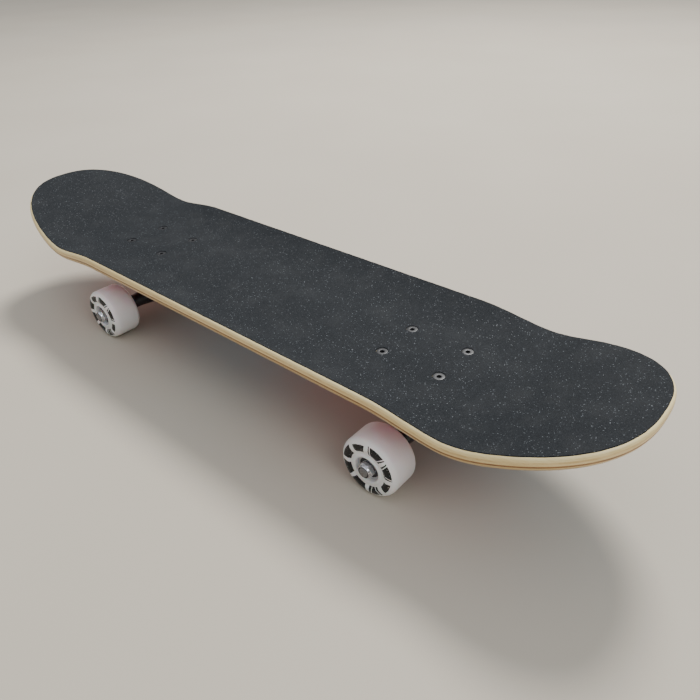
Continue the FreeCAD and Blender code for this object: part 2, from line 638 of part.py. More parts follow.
def about_axle(profile):
    """A solid of revolution about Y, from (radius, y) points."""
    wire = Part.makePolygon([Vector(r, y, 0) for r, y in profile + profile[:1]])
    return Part.Face(wire).revolve(Vector(0, 0, 0), Y_AXIS, 360)


def ball_track(start):
    """The torus that the balls run in, a little larger than the balls."""
    return Part.makeTorus(BALL_PITCH / 2, BALL_DIAMETER / 2 + BALL_PLAY, Vector(0, start + BEARING_WIDTH / 2, 0), Y_AXIS)


def inner_ring(start):
    ring = tube(INNER_SHOULDER, BEARING_BORE, Vector(0, start, 0), BEARING_WIDTH, Y_AXIS)
    return ring.cut(ball_track(start))


def outer_ring(start):
    ring = tube(BEARING_OUTER, OUTER_SHOULDER, Vector(0, start, 0), BEARING_WIDTH, Y_AXIS)
    return ring.cut(ball_track(start))


def bearing_shields(start):
    inner = INNER_SHOULDER + 2 * SHIELD_GAP
    near = start + SHIELD_RECESS
    far = start + BEARING_WIDTH - SHIELD_RECESS - SHIELD_THICKNESS
    return [tube(OUTER_SHOULDER, inner, Vector(0, y, 0), SHIELD_THICKNESS, Y_AXIS) for y in (near, far)]


def ball_centres(start):
    turn = 2 * math.pi / BALL_COUNT
    return [
        Vector(BALL_PITCH / 2 * math.cos(k * turn), start + BEARING_WIDTH / 2, BALL_PITCH / 2 * math.sin(k * turn))
        for k in range(BALL_COUNT)
    ]


def balls(start):
    return [Part.makeSphere(BALL_DIAMETER / 2, centre, Y_AXIS) for centre in ball_centres(start)]


def ball_cage(start):
    low = start + (BEARING_WIDTH - CAGE_WIDTH) / 2
    ring = tube(BALL_PITCH + CAGE_THICKNESS, BALL_PITCH - CAGE_THICKNESS, Vector(0, low, 0), CAGE_WIDTH, Y_AXIS)
    middle = Vector(0, start + BEARING_WIDTH / 2, 0)
    pockets = [cylinder(BALL_DIAMETER + 2 * CAGE_PLAY, middle, BALL_PITCH, centre - middle) for centre in ball_centres(start)]
    return ring.cut(group(pockets))


def wheel_half_profile():
    """One side of the wheel as (radius, distance from its middle plane), from tread to bore."""
    half = WHEEL_WIDTH / 2
    shoulder = [
        (WHEEL_FACE_RADIUS + (WHEEL_RADIUS - WHEEL_FACE_RADIUS) * math.cos(a), half - WHEEL_SHOULDER * (1 - math.sin(a)))
        for a in steps(0, math.pi / 2, 10)
    ]
    dish = [
        (r, half - WHEEL_DISH * math.sin(math.pi * (WHEEL_FACE_RADIUS - r) / (WHEEL_FACE_RADIUS - WHEEL_LIP_RADIUS)) ** 2 * 0.5)
        for r in steps(WHEEL_FACE_RADIUS, WHEEL_LIP_RADIUS, 7)
    ]
    lip = [(WHEEL_LIP_RADIUS - 0.4, half), (BEARING_OUTER / 2 + 0.5, half), (BEARING_OUTER / 2, half - 0.5)]
    seat = [(BEARING_OUTER / 2, SPACER_LENGTH / 2), (WHEEL_CORE_BORE / 2, SPACER_LENGTH / 2)]
    return shoulder + dish[1:] + lip + seat


def make_wheel():
    """One wheel's pieces, left-hand side, on an axle through the origin."""
    middle = (INNER_BEARING_Y + OUTER_BEARING_Y + BEARING_WIDTH) / 2
    half = wheel_half_profile()
    profile = [(r, middle + d) for r, d in half] + [(r, middle - d) for r, d in reversed(half)]
    starts = (INNER_BEARING_Y, OUTER_BEARING_Y)
    return {
        "wheel": about_axle(profile),
        "outer_rings": group([outer_ring(y) for y in starts]),
        "shields": group([shield for y in starts for shield in bearing_shields(y)]),
        "balls": group([ball for y in starts for ball in balls(y)]),
        "ball_cages": group([ball_cage(y) for y in starts]),
    }


# ---------------------------------------------------------------- assembly
def place_truck(shape, end):
    """Moves a truck's piece under the nose or, turned round, under the tail."""
    moved = shape.copy()
    turn = 0 if end == "front" else 180
    x = NOSE_TRUCK_X if end == "front" else TAIL_TRUCK_X
    moved.Placement = FreeCAD.Placement(Vector(x, 0, DECK_UNDERSIDE), Rotation(Z_AXIS, turn)).multiply(moved.Placement)
    return moved


def assemble():
    nodes = make_deck()
    truck, wheel = make_truck(), make_wheel()
    for end in ("front", "rear"):
        for name, shape in truck.items():
            nodes[end + "_" + name] = place_truck(shape, end)
        for side in ("left", "right"):
            mirrored = (side == "right") != (end == "rear")
            for name, shape in wheel.items():
                piece = shape.mirror(Vector(0, 0, 0), Y_AXIS) if mirrored else shape.copy()
                piece.translate(AXLE_POINT)
                nodes[end + "_" + side + "_" + name] = place_truck(piece, end)
    return nodes


def main():
    os.makedirs("parts", exist_ok=True)
    nodes = assemble()
    for name, shape in nodes.items():
        shape.exportStep("parts/" + name + ".step")
    print(len(nodes), "nodes written; deck length", round(DECK_LENGTH, 2), "width", DECK_WIDTH)


if __name__ == "__main__":
    main()
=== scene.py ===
# %% [markdown]
# # A skateboard, from veneers to ball bearings
#
# The deck is seven maple veneers pressed into a shallow trough with a kick at each end, sawn to an
# outline and rounded over. Abrasive tape covers its top. Two cast trucks steer on urethane bushings,
# and each axle carries two urethane wheels on ball bearings. The engineering model gives every
# size and every moving body, and this lesson gives each piece its finished surface.

# %% Load the engineering model
import math

import bmesh
import bpy
import numpy as np
from mathutils import Matrix, Vector


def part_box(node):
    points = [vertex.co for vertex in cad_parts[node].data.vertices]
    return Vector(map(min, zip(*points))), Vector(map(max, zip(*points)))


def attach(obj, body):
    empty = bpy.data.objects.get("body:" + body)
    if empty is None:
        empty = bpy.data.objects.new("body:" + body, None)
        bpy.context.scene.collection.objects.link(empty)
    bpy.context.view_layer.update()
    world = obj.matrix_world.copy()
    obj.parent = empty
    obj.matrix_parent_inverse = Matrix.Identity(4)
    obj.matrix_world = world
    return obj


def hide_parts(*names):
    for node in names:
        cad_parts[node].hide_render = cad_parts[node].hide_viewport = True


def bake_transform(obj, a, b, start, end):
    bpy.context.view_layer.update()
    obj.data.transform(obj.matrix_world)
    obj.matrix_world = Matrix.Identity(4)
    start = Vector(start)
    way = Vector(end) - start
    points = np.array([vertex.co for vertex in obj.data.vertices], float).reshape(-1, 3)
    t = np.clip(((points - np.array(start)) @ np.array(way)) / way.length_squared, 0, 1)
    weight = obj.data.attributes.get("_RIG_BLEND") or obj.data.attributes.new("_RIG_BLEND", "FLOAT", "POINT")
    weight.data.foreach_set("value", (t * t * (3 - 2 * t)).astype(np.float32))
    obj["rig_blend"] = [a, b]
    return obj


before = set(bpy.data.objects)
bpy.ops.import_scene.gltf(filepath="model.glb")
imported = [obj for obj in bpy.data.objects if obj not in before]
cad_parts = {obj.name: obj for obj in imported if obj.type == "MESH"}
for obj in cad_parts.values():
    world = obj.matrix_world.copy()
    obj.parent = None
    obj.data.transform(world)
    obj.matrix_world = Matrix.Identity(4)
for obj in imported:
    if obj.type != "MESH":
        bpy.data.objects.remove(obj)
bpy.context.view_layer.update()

# %% [markdown]
# ## Measures
#
# A curved deck can't be read back from its box, so its few driving sizes are stated here and
# the rest comes from the loaded model. Everything is in metres.

# %% Deck measures
MM = 0.001
WHEELBASE, BOLT_ROWS, BOLT_TRACK = 294 * MM, 53.975 * MM, 41.275 * MM
NOSE_LENGTH, TAIL_LENGTH, DECK_WIDTH = 165 * MM, 152 * MM, 171 * MM
NOSE_ROUND_START, TAIL_ROUND_START, END_FULLNESS = 23 * MM, 32 * MM, 2.42
PLY, PLY_COUNT = 1.45 * MM, 7
KICK_SLOPE, KICK_START, KICK_BLEND = math.tan(math.radians(18)), 27 * MM, 50 * MM
FLAT_HALF, CONCAVE_DEPTH, CONCAVE_IN_KICK, CONCAVE_POWER = 30 * MM, 10.3 * MM, 3.3 * MM, 2.2
CONCAVE_FADE_START, CONCAVE_FADE = 30 * MM, 71 * MM
EDGE_ROUND, EDGE_POWER = 2.0 * MM, 2.6
GRIP, GRIP_INSET = 0.7 * MM, 2.2 * MM

TIP = (TAIL_LENGTH + NOSE_LENGTH + WHEELBASE + 2 * BOLT_ROWS) / 2
HALF_WIDTH = DECK_WIDTH / 2
NOSE_BOLTS, TAIL_BOLTS = TIP - NOSE_LENGTH, TIP - TAIL_LENGTH
WOOD = PLY * PLY_COUNT
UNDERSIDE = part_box("front_baseplate")[1].z + 0.03 * MM
WOOD_TOP = UNDERSIDE + WOOD
TRUCK_X = {"front": NOSE_BOLTS - BOLT_ROWS / 2, "rear": -(TAIL_BOLTS - BOLT_ROWS / 2)}
print("deck length", round(2 * TIP, 4), "top", round(WOOD_TOP, 4), "trucks at", TRUCK_X)

# %% [markdown]
# ## Camera
#
# The board is seen from above its left side, just behind the tail wheels, through a wide lens. The
# camera is turned by its heading, its dip below the horizon and a slight roll.

# %% Camera
CAMERA_AT = Vector((-403.9, 345.5, 369.6)) * MM
HEADING, DIP, ROLL = math.radians(-48.8), math.radians(-34.56), math.radians(-1.85)
forward = Vector((math.cos(DIP) * math.cos(HEADING), math.cos(DIP) * math.sin(HEADING), math.sin(DIP)))
level = Vector((math.sin(HEADING), -math.cos(HEADING), 0))
upward = level.cross(forward)
right = level * math.cos(ROLL) + upward * math.sin(ROLL)
above = upward * math.cos(ROLL) - level * math.sin(ROLL)
camera = bpy.data.objects.new("camera", bpy.data.cameras.new("camera"))
camera.data.sensor_width, camera.data.lens = 36.0, 32.1
turn = Matrix((right, above, -forward)).transposed()
camera.matrix_world = Matrix.Translation(CAMERA_AT) @ turn.to_4x4()
bpy.context.scene.collection.objects.link(camera)
bpy.context.scene.camera = camera
print("camera at", tuple(camera.location), "lens", camera.data.lens)

# %% [markdown]
# ## A surface from a grid
#
# Nearly every piece here is a sheet of points with rows and columns: a turned part is a profile carried round
# an axis, a veneer is a ring that shrinks to a line. One helper joins neighbours into faces, closes the
# columns into a ring, and merges the points that meet at a pole.

# %% Grid helper
SHARP_ANGLE = math.radians(35)


def grid_faces(rows, columns, first):
    """Quads between neighbours of a rows x columns grid whose points count from first. The last column
    is joined to the first, which makes each row a ring."""
    r = np.arange(rows - 1)[:, None]
    c = np.arange(columns)[None, :]
    d = (c + 1) % columns
    quads = np.stack([r * columns + c, r * columns + d, (r + 1) * columns + d, (r + 1) * columns + c], -1)
    return quads.reshape(-1, 4) + first


def quad_corners(values):
    """The four corner values of each quad of a grid of values, in the order that grid_faces uses."""
    return np.stack([values[:-1, :-1], values[:-1, 1:], values[1:, 1:], values[1:, :-1]], 2)


def make_piece(name, grids, merge=0.001 * MM, uv=None):
    """One object from a list of (rows, columns, 3) arrays, each closed round its columns. Points closer
    than merge become one, which closes poles. uv is an optional list of (rows, columns + 1, 2) arrays."""
    points = np.concatenate([g.reshape(-1, 3) for g in grids])
    starts = np.cumsum([0] + [g.shape[0] * g.shape[1] for g in grids[:-1]])
    faces = np.concatenate([grid_faces(*g.shape[:2], s) for g, s in zip(grids, starts)])
    mesh = bpy.data.meshes.new(name)
    mesh.vertices.add(len(points))
    mesh.vertices.foreach_set("co", points.astype(np.float32).ravel())
    mesh.loops.add(faces.size)
    mesh.loops.foreach_set("vertex_index", faces.astype(np.int32).ravel())
    mesh.polygons.add(len(faces))
    mesh.polygons.foreach_set("loop_start", np.arange(0, faces.size, 4, dtype=np.int32))
    mesh.update(calc_edges=True)
    if uv is not None:
        layer = mesh.uv_layers.new(name="UVMap")
        flat = np.concatenate([quad_corners(g).reshape(-1, 2) for g in uv])
        layer.data.foreach_set("uv", flat.astype(np.float32).ravel())
    tidy_mesh(mesh, merge)
    mesh.shade_smooth()
    mesh.set_sharp_from_angle(angle=SHARP_ANGLE)
    piece = bpy.data.objects.new(name, mesh)
    bpy.context.scene.collection.objects.link(piece)
    return piece


def tidy_mesh(mesh, merge):
    """Merges points closer than merge, which also drops faces that shrank to nothing, and turns
    every shell's faces outward."""
    work = bmesh.new()
    work.from_mesh(mesh)
    bmesh.ops.remove_doubles(work, verts=work.verts, dist=merge)
    bmesh.ops.recalc_face_normals(work, faces=work.faces)
    work.to_mesh(mesh)
    work.free()


def dress(piece, body, slot, finish, *nodes):
    """Gives a piece its finish, its place in the mechanism, and the engineering nodes it stands for."""
    piece.data.materials.clear()
    piece.data.materials.append(finish)
    if body:
        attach(piece, body)
    if nodes:
        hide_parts(*nodes)
    return piece

# %% [markdown]
# ## The deck's shape
#
# The top face is a height over the plan: flat in the middle where the trucks seat, rising to the sides
# (the concave), and bending up at both ends (the kicks). The concave fades as it runs into a kick. All
# veneers follow the same height, each a little further down, so the whole stack needs one formula.

# %% Height of the deck
def smooth_step(t):
    """0 to 1 with flat ends: t * t * (3 - 2 t)."""
    t = np.clip(t, 0, 1)
    return t * t * (3 - 2 * t)


def top_height(x, y):
    """Wood top = middle height + kick + concave. A kick's slope grows smoothly over KICK_BLEND and then
    stays. Concave = depth times (distance past the flat / its width) to the power CONCAVE_POWER."""
    outer = np.where(x > 0, NOSE_BOLTS, TAIL_BOLTS)
    run = np.maximum(np.abs(x) - outer - KICK_START, 0)
    t = np.minimum(run / KICK_BLEND, 1)
    kick = KICK_SLOPE * (KICK_BLEND * (t**3 - t**4 / 2) + np.maximum(run - KICK_BLEND, 0))
    fade = 1 - smooth_step((np.abs(x) - (outer - BOLT_ROWS) - CONCAVE_FADE_START) / CONCAVE_FADE)
    depth = CONCAVE_IN_KICK + (CONCAVE_DEPTH - CONCAVE_IN_KICK) * fade
    off_flat = np.maximum(np.abs(y) - FLAT_HALF, 0) / (HALF_WIDTH - FLAT_HALF)
    return WOOD_TOP + kick + depth * off_flat**CONCAVE_POWER


def layer_points(plan, depth):
    """Points at one depth below the top face, measured square to it, under plan positions."""
    x, y, h = plan[..., 0], plan[..., 1], 0.01 * MM
    slope_x = (top_height(x + h, y) - top_height(x - h, y)) / (2 * h)
    slope_y = (top_height(x, y + h) - top_height(x, y - h)) / (2 * h)
    z = top_height(x, y) - depth * np.sqrt(1 + slope_x**2 + slope_y**2)
    return np.stack([x, y, z], -1)


# %% [markdown]
# The outline has straight sides and two rounded ends. Each end is a superellipse, a little squarer than
# an ellipse. The points are spread evenly along it, starting at the tail's tip, so that the two
# halves mirror each other and every ring can shrink onto the deck's middle line.

# %% Outline of the deck
STATIONS = 720


def outline():
    """Plan points and outward directions, evenly spaced round the deck. End: x = start + length *
    sin(a)^(2/fullness), y = half width * cos(a)^(2/fullness)."""
    a = np.linspace(0, np.pi / 2, 400)
    nose_start, tail_start = NOSE_BOLTS + NOSE_ROUND_START, TAIL_BOLTS + TAIL_ROUND_START
    rise, fall = np.sin(a) ** (2 / END_FULLNESS), np.cos(a) ** (2 / END_FULLNESS)
    tail = np.stack([-tail_start - (TIP - tail_start) * rise[::-1], -HALF_WIDTH * fall[::-1]], -1)
    nose = np.stack([nose_start + (TIP - nose_start) * rise, -HALF_WIDTH * fall], -1)
    half = np.concatenate([tail, nose])
    run = np.concatenate([[0], np.cumsum(np.hypot(*np.diff(half, axis=0).T))])
    even = np.linspace(0, run[-1], STATIONS // 2 + 1)
    half = np.stack([np.interp(even, run, half[:, k]) for k in (0, 1)], -1)
    whole = np.concatenate([half, half[-2:0:-1] * [1, -1]])
    step = np.roll(whole, -1, 0) - np.roll(whole, 1, 0)
    outward = np.stack([step[:, 1], -step[:, 0]], -1) / np.hypot(*step.T)[:, None]
    return whole, outward


PLAN, OUTWARD = outline()
SPINE = np.stack([np.clip(PLAN[:, 0], -TIP + 0.8 * HALF_WIDTH, TIP - 0.8 * HALF_WIDTH), 0 * PLAN[:, 1]], -1)
print("outline", PLAN.shape, "perimeter", round(float(np.hypot(*np.diff(PLAN, axis=0).T).sum()), 3))

# %% [markdown]
# ## Veneers and grip tape
#
# A sheet is one closed skin: rings grow from the middle line to the edge across its lower face, climb the
# edge, and shrink back across its upper face. On the real deck all seven veneers are sawn and
# rounded over together, so the edge draws in towards both faces by one curve.

# %% A sheet of the deck
def edge_draw_in(depth):
    """How far the rounded edge lies inside the widest line: EDGE_ROUND * |2 depth / WOOD - 1|^EDGE_POWER."""
    return EDGE_ROUND * np.abs(2 * depth / WOOD - 1) ** EDGE_POWER


def sheet_rings(top_depth, bottom_depth, rings, draw_in, wall_rows=6):
    """Rings of points: plan = outline - outward * inset, moved towards the spine by shrink."""
    shrink = 1 - np.linspace(0, 1, rings) ** 0.85
    walls = np.linspace(bottom_depth, top_depth, wall_rows)[1:-1]
    depth = np.concatenate([np.full(rings, bottom_depth), walls, np.full(rings, top_depth)])
    shrink = np.concatenate([shrink, 0 * walls, shrink[::-1]])
    inset = np.stack([draw_in(d) + 0 * PLAN[:, 0] for d in depth])
    plan = PLAN[None] - OUTWARD[None] * inset[..., None]
    plan = plan + (SPINE[None] - plan) * shrink[:, None, None]
    return layer_points(plan, depth[:, None])


def deck_sheet(name, top_depth, bottom_depth, rings, draw_in=edge_draw_in):
    """A closed sheet of the deck between two depths below its top face."""
    return make_piece(name, [sheet_rings(top_depth, bottom_depth, rings, draw_in)], merge=0.02 * MM)


# %% [markdown]
# The bolts pass through every sheet, so each one is drilled. A boolean cut does it with one cutter made of
# eight countersunk plugs, and the cutter is thrown away afterwards.

# %% Turned profiles
def turned(profile, count=48, origin=(0, 0, 0), axis=(0, 0, 1)):
    """A profile of (radius, height, flatness) rows carried round an axis. Flatness 0 is round and 1 is
    a hexagon whose corners are at that radius: r * cos 30 / cos(angle from the middle of the side)."""
    rows = np.array([(p + (0.0,))[:3] for p in profile], float)
    angle = np.arange(count) * 2 * np.pi / count
    off_side = np.mod(angle, np.pi / 3) - np.pi / 6
    hexagon = math.cos(math.pi / 6) / np.cos(off_side)
    radius = rows[:, :1] * (1 + rows[:, 2:3] * (hexagon[None] - 1))
    local = np.stack([radius * np.cos(angle), radius * np.sin(angle), rows[:, 1:2] + 0 * radius], -1)
    return along(local, origin, axis)


def along(points, origin, axis):
    """Points built about +Z, turned so that +Z is the axis, and moved to the origin."""
    spin = Vector((0, 0, 1)).rotation_difference(Vector(axis).normalized()).to_matrix()
    return points @ np.array(spin).T + np.array(origin)


def softened(corners, radius, steps=3):
    """Rounds a profile's inner corners: each becomes a short parabola that starts and ends radius away,
    or halfway to its neighbour if that is nearer. Flatness blends with it."""
    p = [np.array((c + (0.0,))[:3], float) for c in corners]
    out = [p[0]]
    for before, corner, after in zip(p, p[1:], p[2:]):
        reach = [min(radius / max(np.hypot(*(q - corner)[:2]), 1e-9), 0.5) for q in (before, after)]
        start, end = corner + (before - corner) * reach[0], corner + (after - corner) * reach[1]
        for t in np.linspace(0, 1, steps + 1):
            out.append((1 - t) ** 2 * start + 2 * t * (1 - t) * corner + t**2 * end)
    return [tuple(q) for q in out + [p[-1]]]


def bolt_places(end):
    """Plan places of one truck's four bolts."""
    return [(TRUCK_X[end] + sx * BOLT_ROWS / 2, sy * BOLT_TRACK / 2) for sx in (-1, 1) for sy in (-1, 1)]


# %% Drill the sheets
BOLT_HEAD, BOLT_SHANK, HEAD_RIM, HEAD_CONE, HOLE_GAP = 4.7 * MM, 2.4 * MM, 0.4 * MM, 2.65 * MM, 0.15 * MM
BOLT_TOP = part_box("front_mounting_bolts")[1].z


def plugs(head, shank):
    """Eight countersunk plugs, from above the tape to below the wood."""
    rows = [(0, 6 * MM), (head, 6 * MM), (head, -HEAD_RIM), (shank, -HEAD_RIM - HEAD_CONE),
            (shank, -30 * MM), (0, -30 * MM)]
    grids = [turned(rows[::-1], 40, (x, y, BOLT_TOP)) for end in TRUCK_X for x, y in bolt_places(end)]
    return make_piece("plugs", grids)


def drilled(piece, head, shank):
    """The piece with its eight bolt holes cut."""
    cutter = plugs(head, shank)
    cut = piece.modifiers.new("holes", "BOOLEAN")
    cut.operation, cut.solver, cut.object = "DIFFERENCE", "EXACT", cutter
    view = bpy.context.evaluated_depsgraph_get()
    mesh = bpy.data.meshes.new_from_object(piece.evaluated_get(view))
    piece.modifiers.clear()
    piece.data = mesh
    mesh.name = piece.name
    bpy.data.objects.remove(cutter)
    return piece


def grip_inset(depth):
    """The tape is trimmed by knife and file, so its edge wanders by a tenth of a millimetre or so."""
    rng = np.random.default_rng(11)
    s = np.arange(STATIONS) / STATIONS * 2 * np.pi
    turns = (9, 17, 31, 47, 73, 101, 149, 211, 283)
    waves = [rng.normal() * 0.5 * np.sin(k * s + rng.uniform(0, 6.3)) for k in turns]
    return GRIP_INSET + 0.07 * MM * np.sum(waves, 0) + 0.35 * MM * max(-depth / GRIP, 0)


PLIES = ["ply_1_face", "ply_2_core", "ply_3_cross", "ply_4_core", "ply_5_cross", "ply_6_core", "ply_7_back"]
deck = {}
for k, name in enumerate(PLIES):
    sheet = deck_sheet("deck_" + name, k * PLY, (k + 1) * PLY, 26 if k in (0, 6) else 9)
    deck[name] = drilled(sheet, BOLT_HEAD + HOLE_GAP, BOLT_SHANK + HOLE_GAP)
    print(name, len(sheet.data.polygons), "faces")
tape = deck_sheet("deck_grip_tape", -GRIP, 0, 40, grip_inset)
deck["grip_tape"] = drilled(tape, BOLT_HEAD + HOLE_GAP, BOLT_HEAD + HOLE_GAP)
print("grip tape", len(deck["grip_tape"].data.polygons), "faces")

# %% [markdown]
# ## Screws, nuts and threads
#
# Each screw or nut is one profile turned about its axis. A nut's flanks and a socket's walls are rows whose
# outline is a hexagon, with round rows before and after them for the turned chamfers. A thread is a
# grid whose radius rises and falls once per pitch along the axis and once per turn round it.

# %% Fasteners
def thread(radius, pitch, depth, start, end, count=36, rows_per_pitch=7):
    """A threaded rod's skin: radius - depth * (1 - cos(2 pi (height / pitch - turn))) / 2, closed flat at
    both ends."""
    height = np.linspace(start, end, max(int((end - start) / pitch * rows_per_pitch), 3))[:, None]
    angle = (np.arange(count) * 2 * np.pi / count)[None]
    groove = 0.5 - 0.5 * np.cos(2 * np.pi * (height / pitch) - angle)
    taper = smooth_step((end - height) / (0.6 * pitch)) * 0.8 + 0.2
    r = radius - depth * groove - (1 - taper) * depth
    skin = np.stack([r * np.cos(angle), r * np.sin(angle), height + 0 * r], -1)
    return np.concatenate([skin[:1] * [0, 0, 1], skin, skin[-1:] * [0, 0, 1]])


def lock_nut(flats, height, bore):
    """A hexagonal nut with a turned-in collar: rows run up the outside and back down the bore."""
    corner, side = flats / math.sqrt(3), flats / 2
    low, top = 0.1 * height, 0.70 * height
    rows = [(bore, 0), (side - 0.1 * MM, 0), (side, 0.02 * height), (corner, low, 1),
            (corner, top - low * 0.8, 1), (side, top, 0), (side * 0.93, top + 0.02 * height),
            (side * 0.90, height - 0.7 * MM),
            (side * 0.90 - 0.5 * MM, height), (bore + 0.9 * MM, height), (bore + 0.9 * MM, height - 0.9 * MM),
            (bore, height - 0.9 * MM), (bore, 0)]
    return [(r, z, round(share, 3)) for r, z, share in softened(rows, 0.25 * MM, 2)]


def nylon_ring(height, bore):
    """The lock nut's insert: a ring that fills the collar's mouth and grips the thread."""
    return softened([(bore - 0.12 * MM, height - 0.85 * MM), (bore + 0.85 * MM, height - 0.85 * MM),
                     (bore + 0.85 * MM, height - 0.12 * MM), (bore - 0.12 * MM, height - 0.12 * MM),
                     (bore - 0.12 * MM, height - 0.85 * MM)], 0.2 * MM, 2)


def screw_head():
    """A flat countersunk head with a hexagonal socket, from the cone's foot up and down into the socket."""
    socket = 3.2 * MM / math.sqrt(3)
    foot = -HEAD_CONE - HEAD_RIM
    return softened([(0, foot - 0.1 * MM), (BOLT_SHANK, foot - 0.1 * MM), (BOLT_SHANK, foot),
                     (BOLT_HEAD, -HEAD_RIM), (BOLT_HEAD, 0), (socket + 0.25 * MM, 0),
                     (socket, -0.2 * MM, 1), (socket, -1.9 * MM, 1), (0, -2.1 * MM, 1)], 0.15 * MM, 2)


BOLT_NUT_FLATS, BOLT_NUT_HEIGHT = 9.5 * MM, 5.6 * MM
BOLT_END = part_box("front_mounting_bolts")[0].z
NUT_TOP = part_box("front_mounting_nuts")[1].z
hardware = {}
for end in TRUCK_X:
    bolts, nuts, inserts = [], [], []
    for x, y in bolt_places(end):
        seat, down = (x, y, NUT_TOP), (0, 0, -1)
        shank = thread(BOLT_SHANK, 0.794 * MM, 0.35 * MM, 0, BOLT_TOP - HEAD_CONE - BOLT_END, 28)
        bolts.append(turned(screw_head(), 48, (x, y, BOLT_TOP)))
        bolts.append(shank * [1, 1, -1] + [x, y, BOLT_TOP - HEAD_CONE])
        nuts.append(turned(lock_nut(BOLT_NUT_FLATS, BOLT_NUT_HEIGHT, BOLT_SHANK), 48, seat, down))
        inserts.append(turned(nylon_ring(BOLT_NUT_HEIGHT, BOLT_SHANK), 36, seat, down))
    hardware[end + "_mounting_bolts"] = make_piece(end + "_mounting_bolts_finished", bolts)
    hardware[end + "_mounting_nuts"] = make_piece(end + "_mounting_nuts_finished", nuts)
    hardware[end + "_bolt_nylon"] = make_piece(end + "_mounting_nut_inserts", inserts)
    print(end, "bolts", len(hardware[end + "_mounting_bolts"].data.polygons), "faces")

# %% [markdown]
# ## Steering parts
#
# The kingpin leans inboard by 30 degrees. It carries the stack that makes the truck steer: cupped
# washer, bushing, the hanger's ring, second bushing, second washer and a lock nut. Everything
# on it is turned about the kingpin's line, at positions counted from the middle of the hanger's ring.

# %% Kingpin stack
KINGPIN_TILT = math.radians(30)
RING_OUT, RING_DOWN = -13 * MM, 34 * MM
BUSHING_FACE, BOARDSIDE_HEIGHT, ROADSIDE_HEIGHT = 3.03 * MM, 13.0 * MM, 11.0 * MM
STACK = {"boardside": -16.06 * MM, "roadside": 14.06 * MM}
NUT_FACE = 15.49 * MM


def kingpin_line(end):
    """The middle of the hanger's ring, and the direction from the deck to the kingpin's nut."""
    s = math.copysign(1, TRUCK_X[end])
    ring = (TRUCK_X[end] + s * RING_OUT, 0, UNDERSIDE - RING_DOWN)
    return ring, (-s * math.sin(KINGPIN_TILT), 0, -math.cos(KINGPIN_TILT))


def bushing_rows(face, height, side, end_radius, bulge):
    """A urethane bushing from face outward: rounded rims, a slight barrel, and its bore."""
    r, bore, tip = 12 * MM, 5.05 * MM, face + side * height
    rows = [(bore, face), (r - 1.0 * MM, face), (r - 0.25 * MM, face + side * 0.3 * MM)]
    for t in np.linspace(0.08, 0.92, 9):
        flank = r + (end_radius - r) * t**1.6 + bulge * math.sin(math.pi * t)
        rows.append((flank, face + side * height * t))
    rows += [(end_radius - 0.25 * MM, tip - side * 0.3 * MM), (end_radius - 1.0 * MM, tip),
             (bore, tip), (bore, face)]
    return softened(rows, 0.4 * MM, 2)


def washer_rows(face, side, radius, cup, thickness=1.35 * MM, lip=1.3 * MM):
    """A pressed cupped washer: a flat floor whose rim turns up round the bushing."""
    back, rim, bore = face - side * thickness, face + side * lip, 4.95 * MM
    return softened([(bore, back), (radius - 1.0 * MM, back), (radius, face + side * 0.2 * MM),
                     (radius, rim), (cup + 0.1 * MM, rim), (cup, face), (bore, face), (bore, back)],
                    0.55 * MM, 4)


for end in TRUCK_X:
    ring, axis = kingpin_line(end)
    rows = {
        "boardside_bushing": bushing_rows(-BUSHING_FACE, BOARDSIDE_HEIGHT, -1, 12.0 * MM, 0.0),
        "roadside_bushing": bushing_rows(BUSHING_FACE, ROADSIDE_HEIGHT, 1, 8.6 * MM, 0.25 * MM),
        "boardside_washer": washer_rows(STACK["boardside"], 1, 13.25 * MM, 12.2 * MM),
        "roadside_washer": washer_rows(STACK["roadside"], -1, 10.0 * MM, 8.75 * MM),
        "kingpin_nut": [(r, h + NUT_FACE, f) for r, h, f in lock_nut(14.3 * MM, 9.0 * MM, 4.7 * MM)],
        "kingpin_insert": [(r, h + NUT_FACE, f) for r, h, f in nylon_ring(9.0 * MM, 4.7 * MM)],
    }
    for name, profile in rows.items():
        grid = turned(profile, 48 if "nut" in name else 72, ring, axis)
        hardware[f"{end}_{name}"] = make_piece(f"{end}_{name}_finished", [grid])
    head = softened([(0, -31.4 * MM), (6.6 * MM, -31.4 * MM), (7.8 * MM, -30.4 * MM), (7.8 * MM, -26.55 * MM),
                     (4.7 * MM, -26.5 * MM), (4.7 * MM, 9 * MM), (0, 9 * MM)], 0.4 * MM)
    screw = along(thread(4.7 * MM, 1.06 * MM, 0.45 * MM, 8 * MM, 26.4 * MM, 40), ring, axis)
    pin = [turned(head, 48, ring, axis), screw]
    hardware[end + "_kingpin"] = make_piece(end + "_kingpin_finished", pin)
print("steering parts", len(hardware))

# %% [markdown]
# ## Castings
#
# Hanger and baseplate are aluminium castings: their corners have run into soft fillets, and only the
# faces that seat something are cut flat. The engineering shape already has the right bulk, so a copy of it
# is rebuilt as an even skin of small squares and then relaxed. Relaxing rounds every inner and
# outer corner alike, which is what a mould does.

# %% Cast skins
def cast_copy(name, node, voxel, relax):
    """A copy of an engineering node, merged, remeshed at voxel size and relaxed by averaging neighbours."""
    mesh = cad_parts[node].data.copy()
    mesh.name = name
    tidy_mesh(mesh, 0.005 * MM)
    piece = bpy.data.objects.new(name, mesh)
    bpy.context.scene.collection.objects.link(piece)
    remesh = piece.modifiers.new("skin", "REMESH")
    remesh.mode, remesh.voxel_size, remesh.use_smooth_shade = "VOXEL", voxel, True
    soften = piece.modifiers.new("relax", "SMOOTH")
    soften.factor, soften.iterations = 0.5, relax
    view = bpy.context.evaluated_depsgraph_get()
    skin = bpy.data.meshes.new_from_object(piece.evaluated_get(view))
    piece.modifiers.clear()
    piece.data = skin
    skin.name = name
    skin.shade_smooth()
    return piece


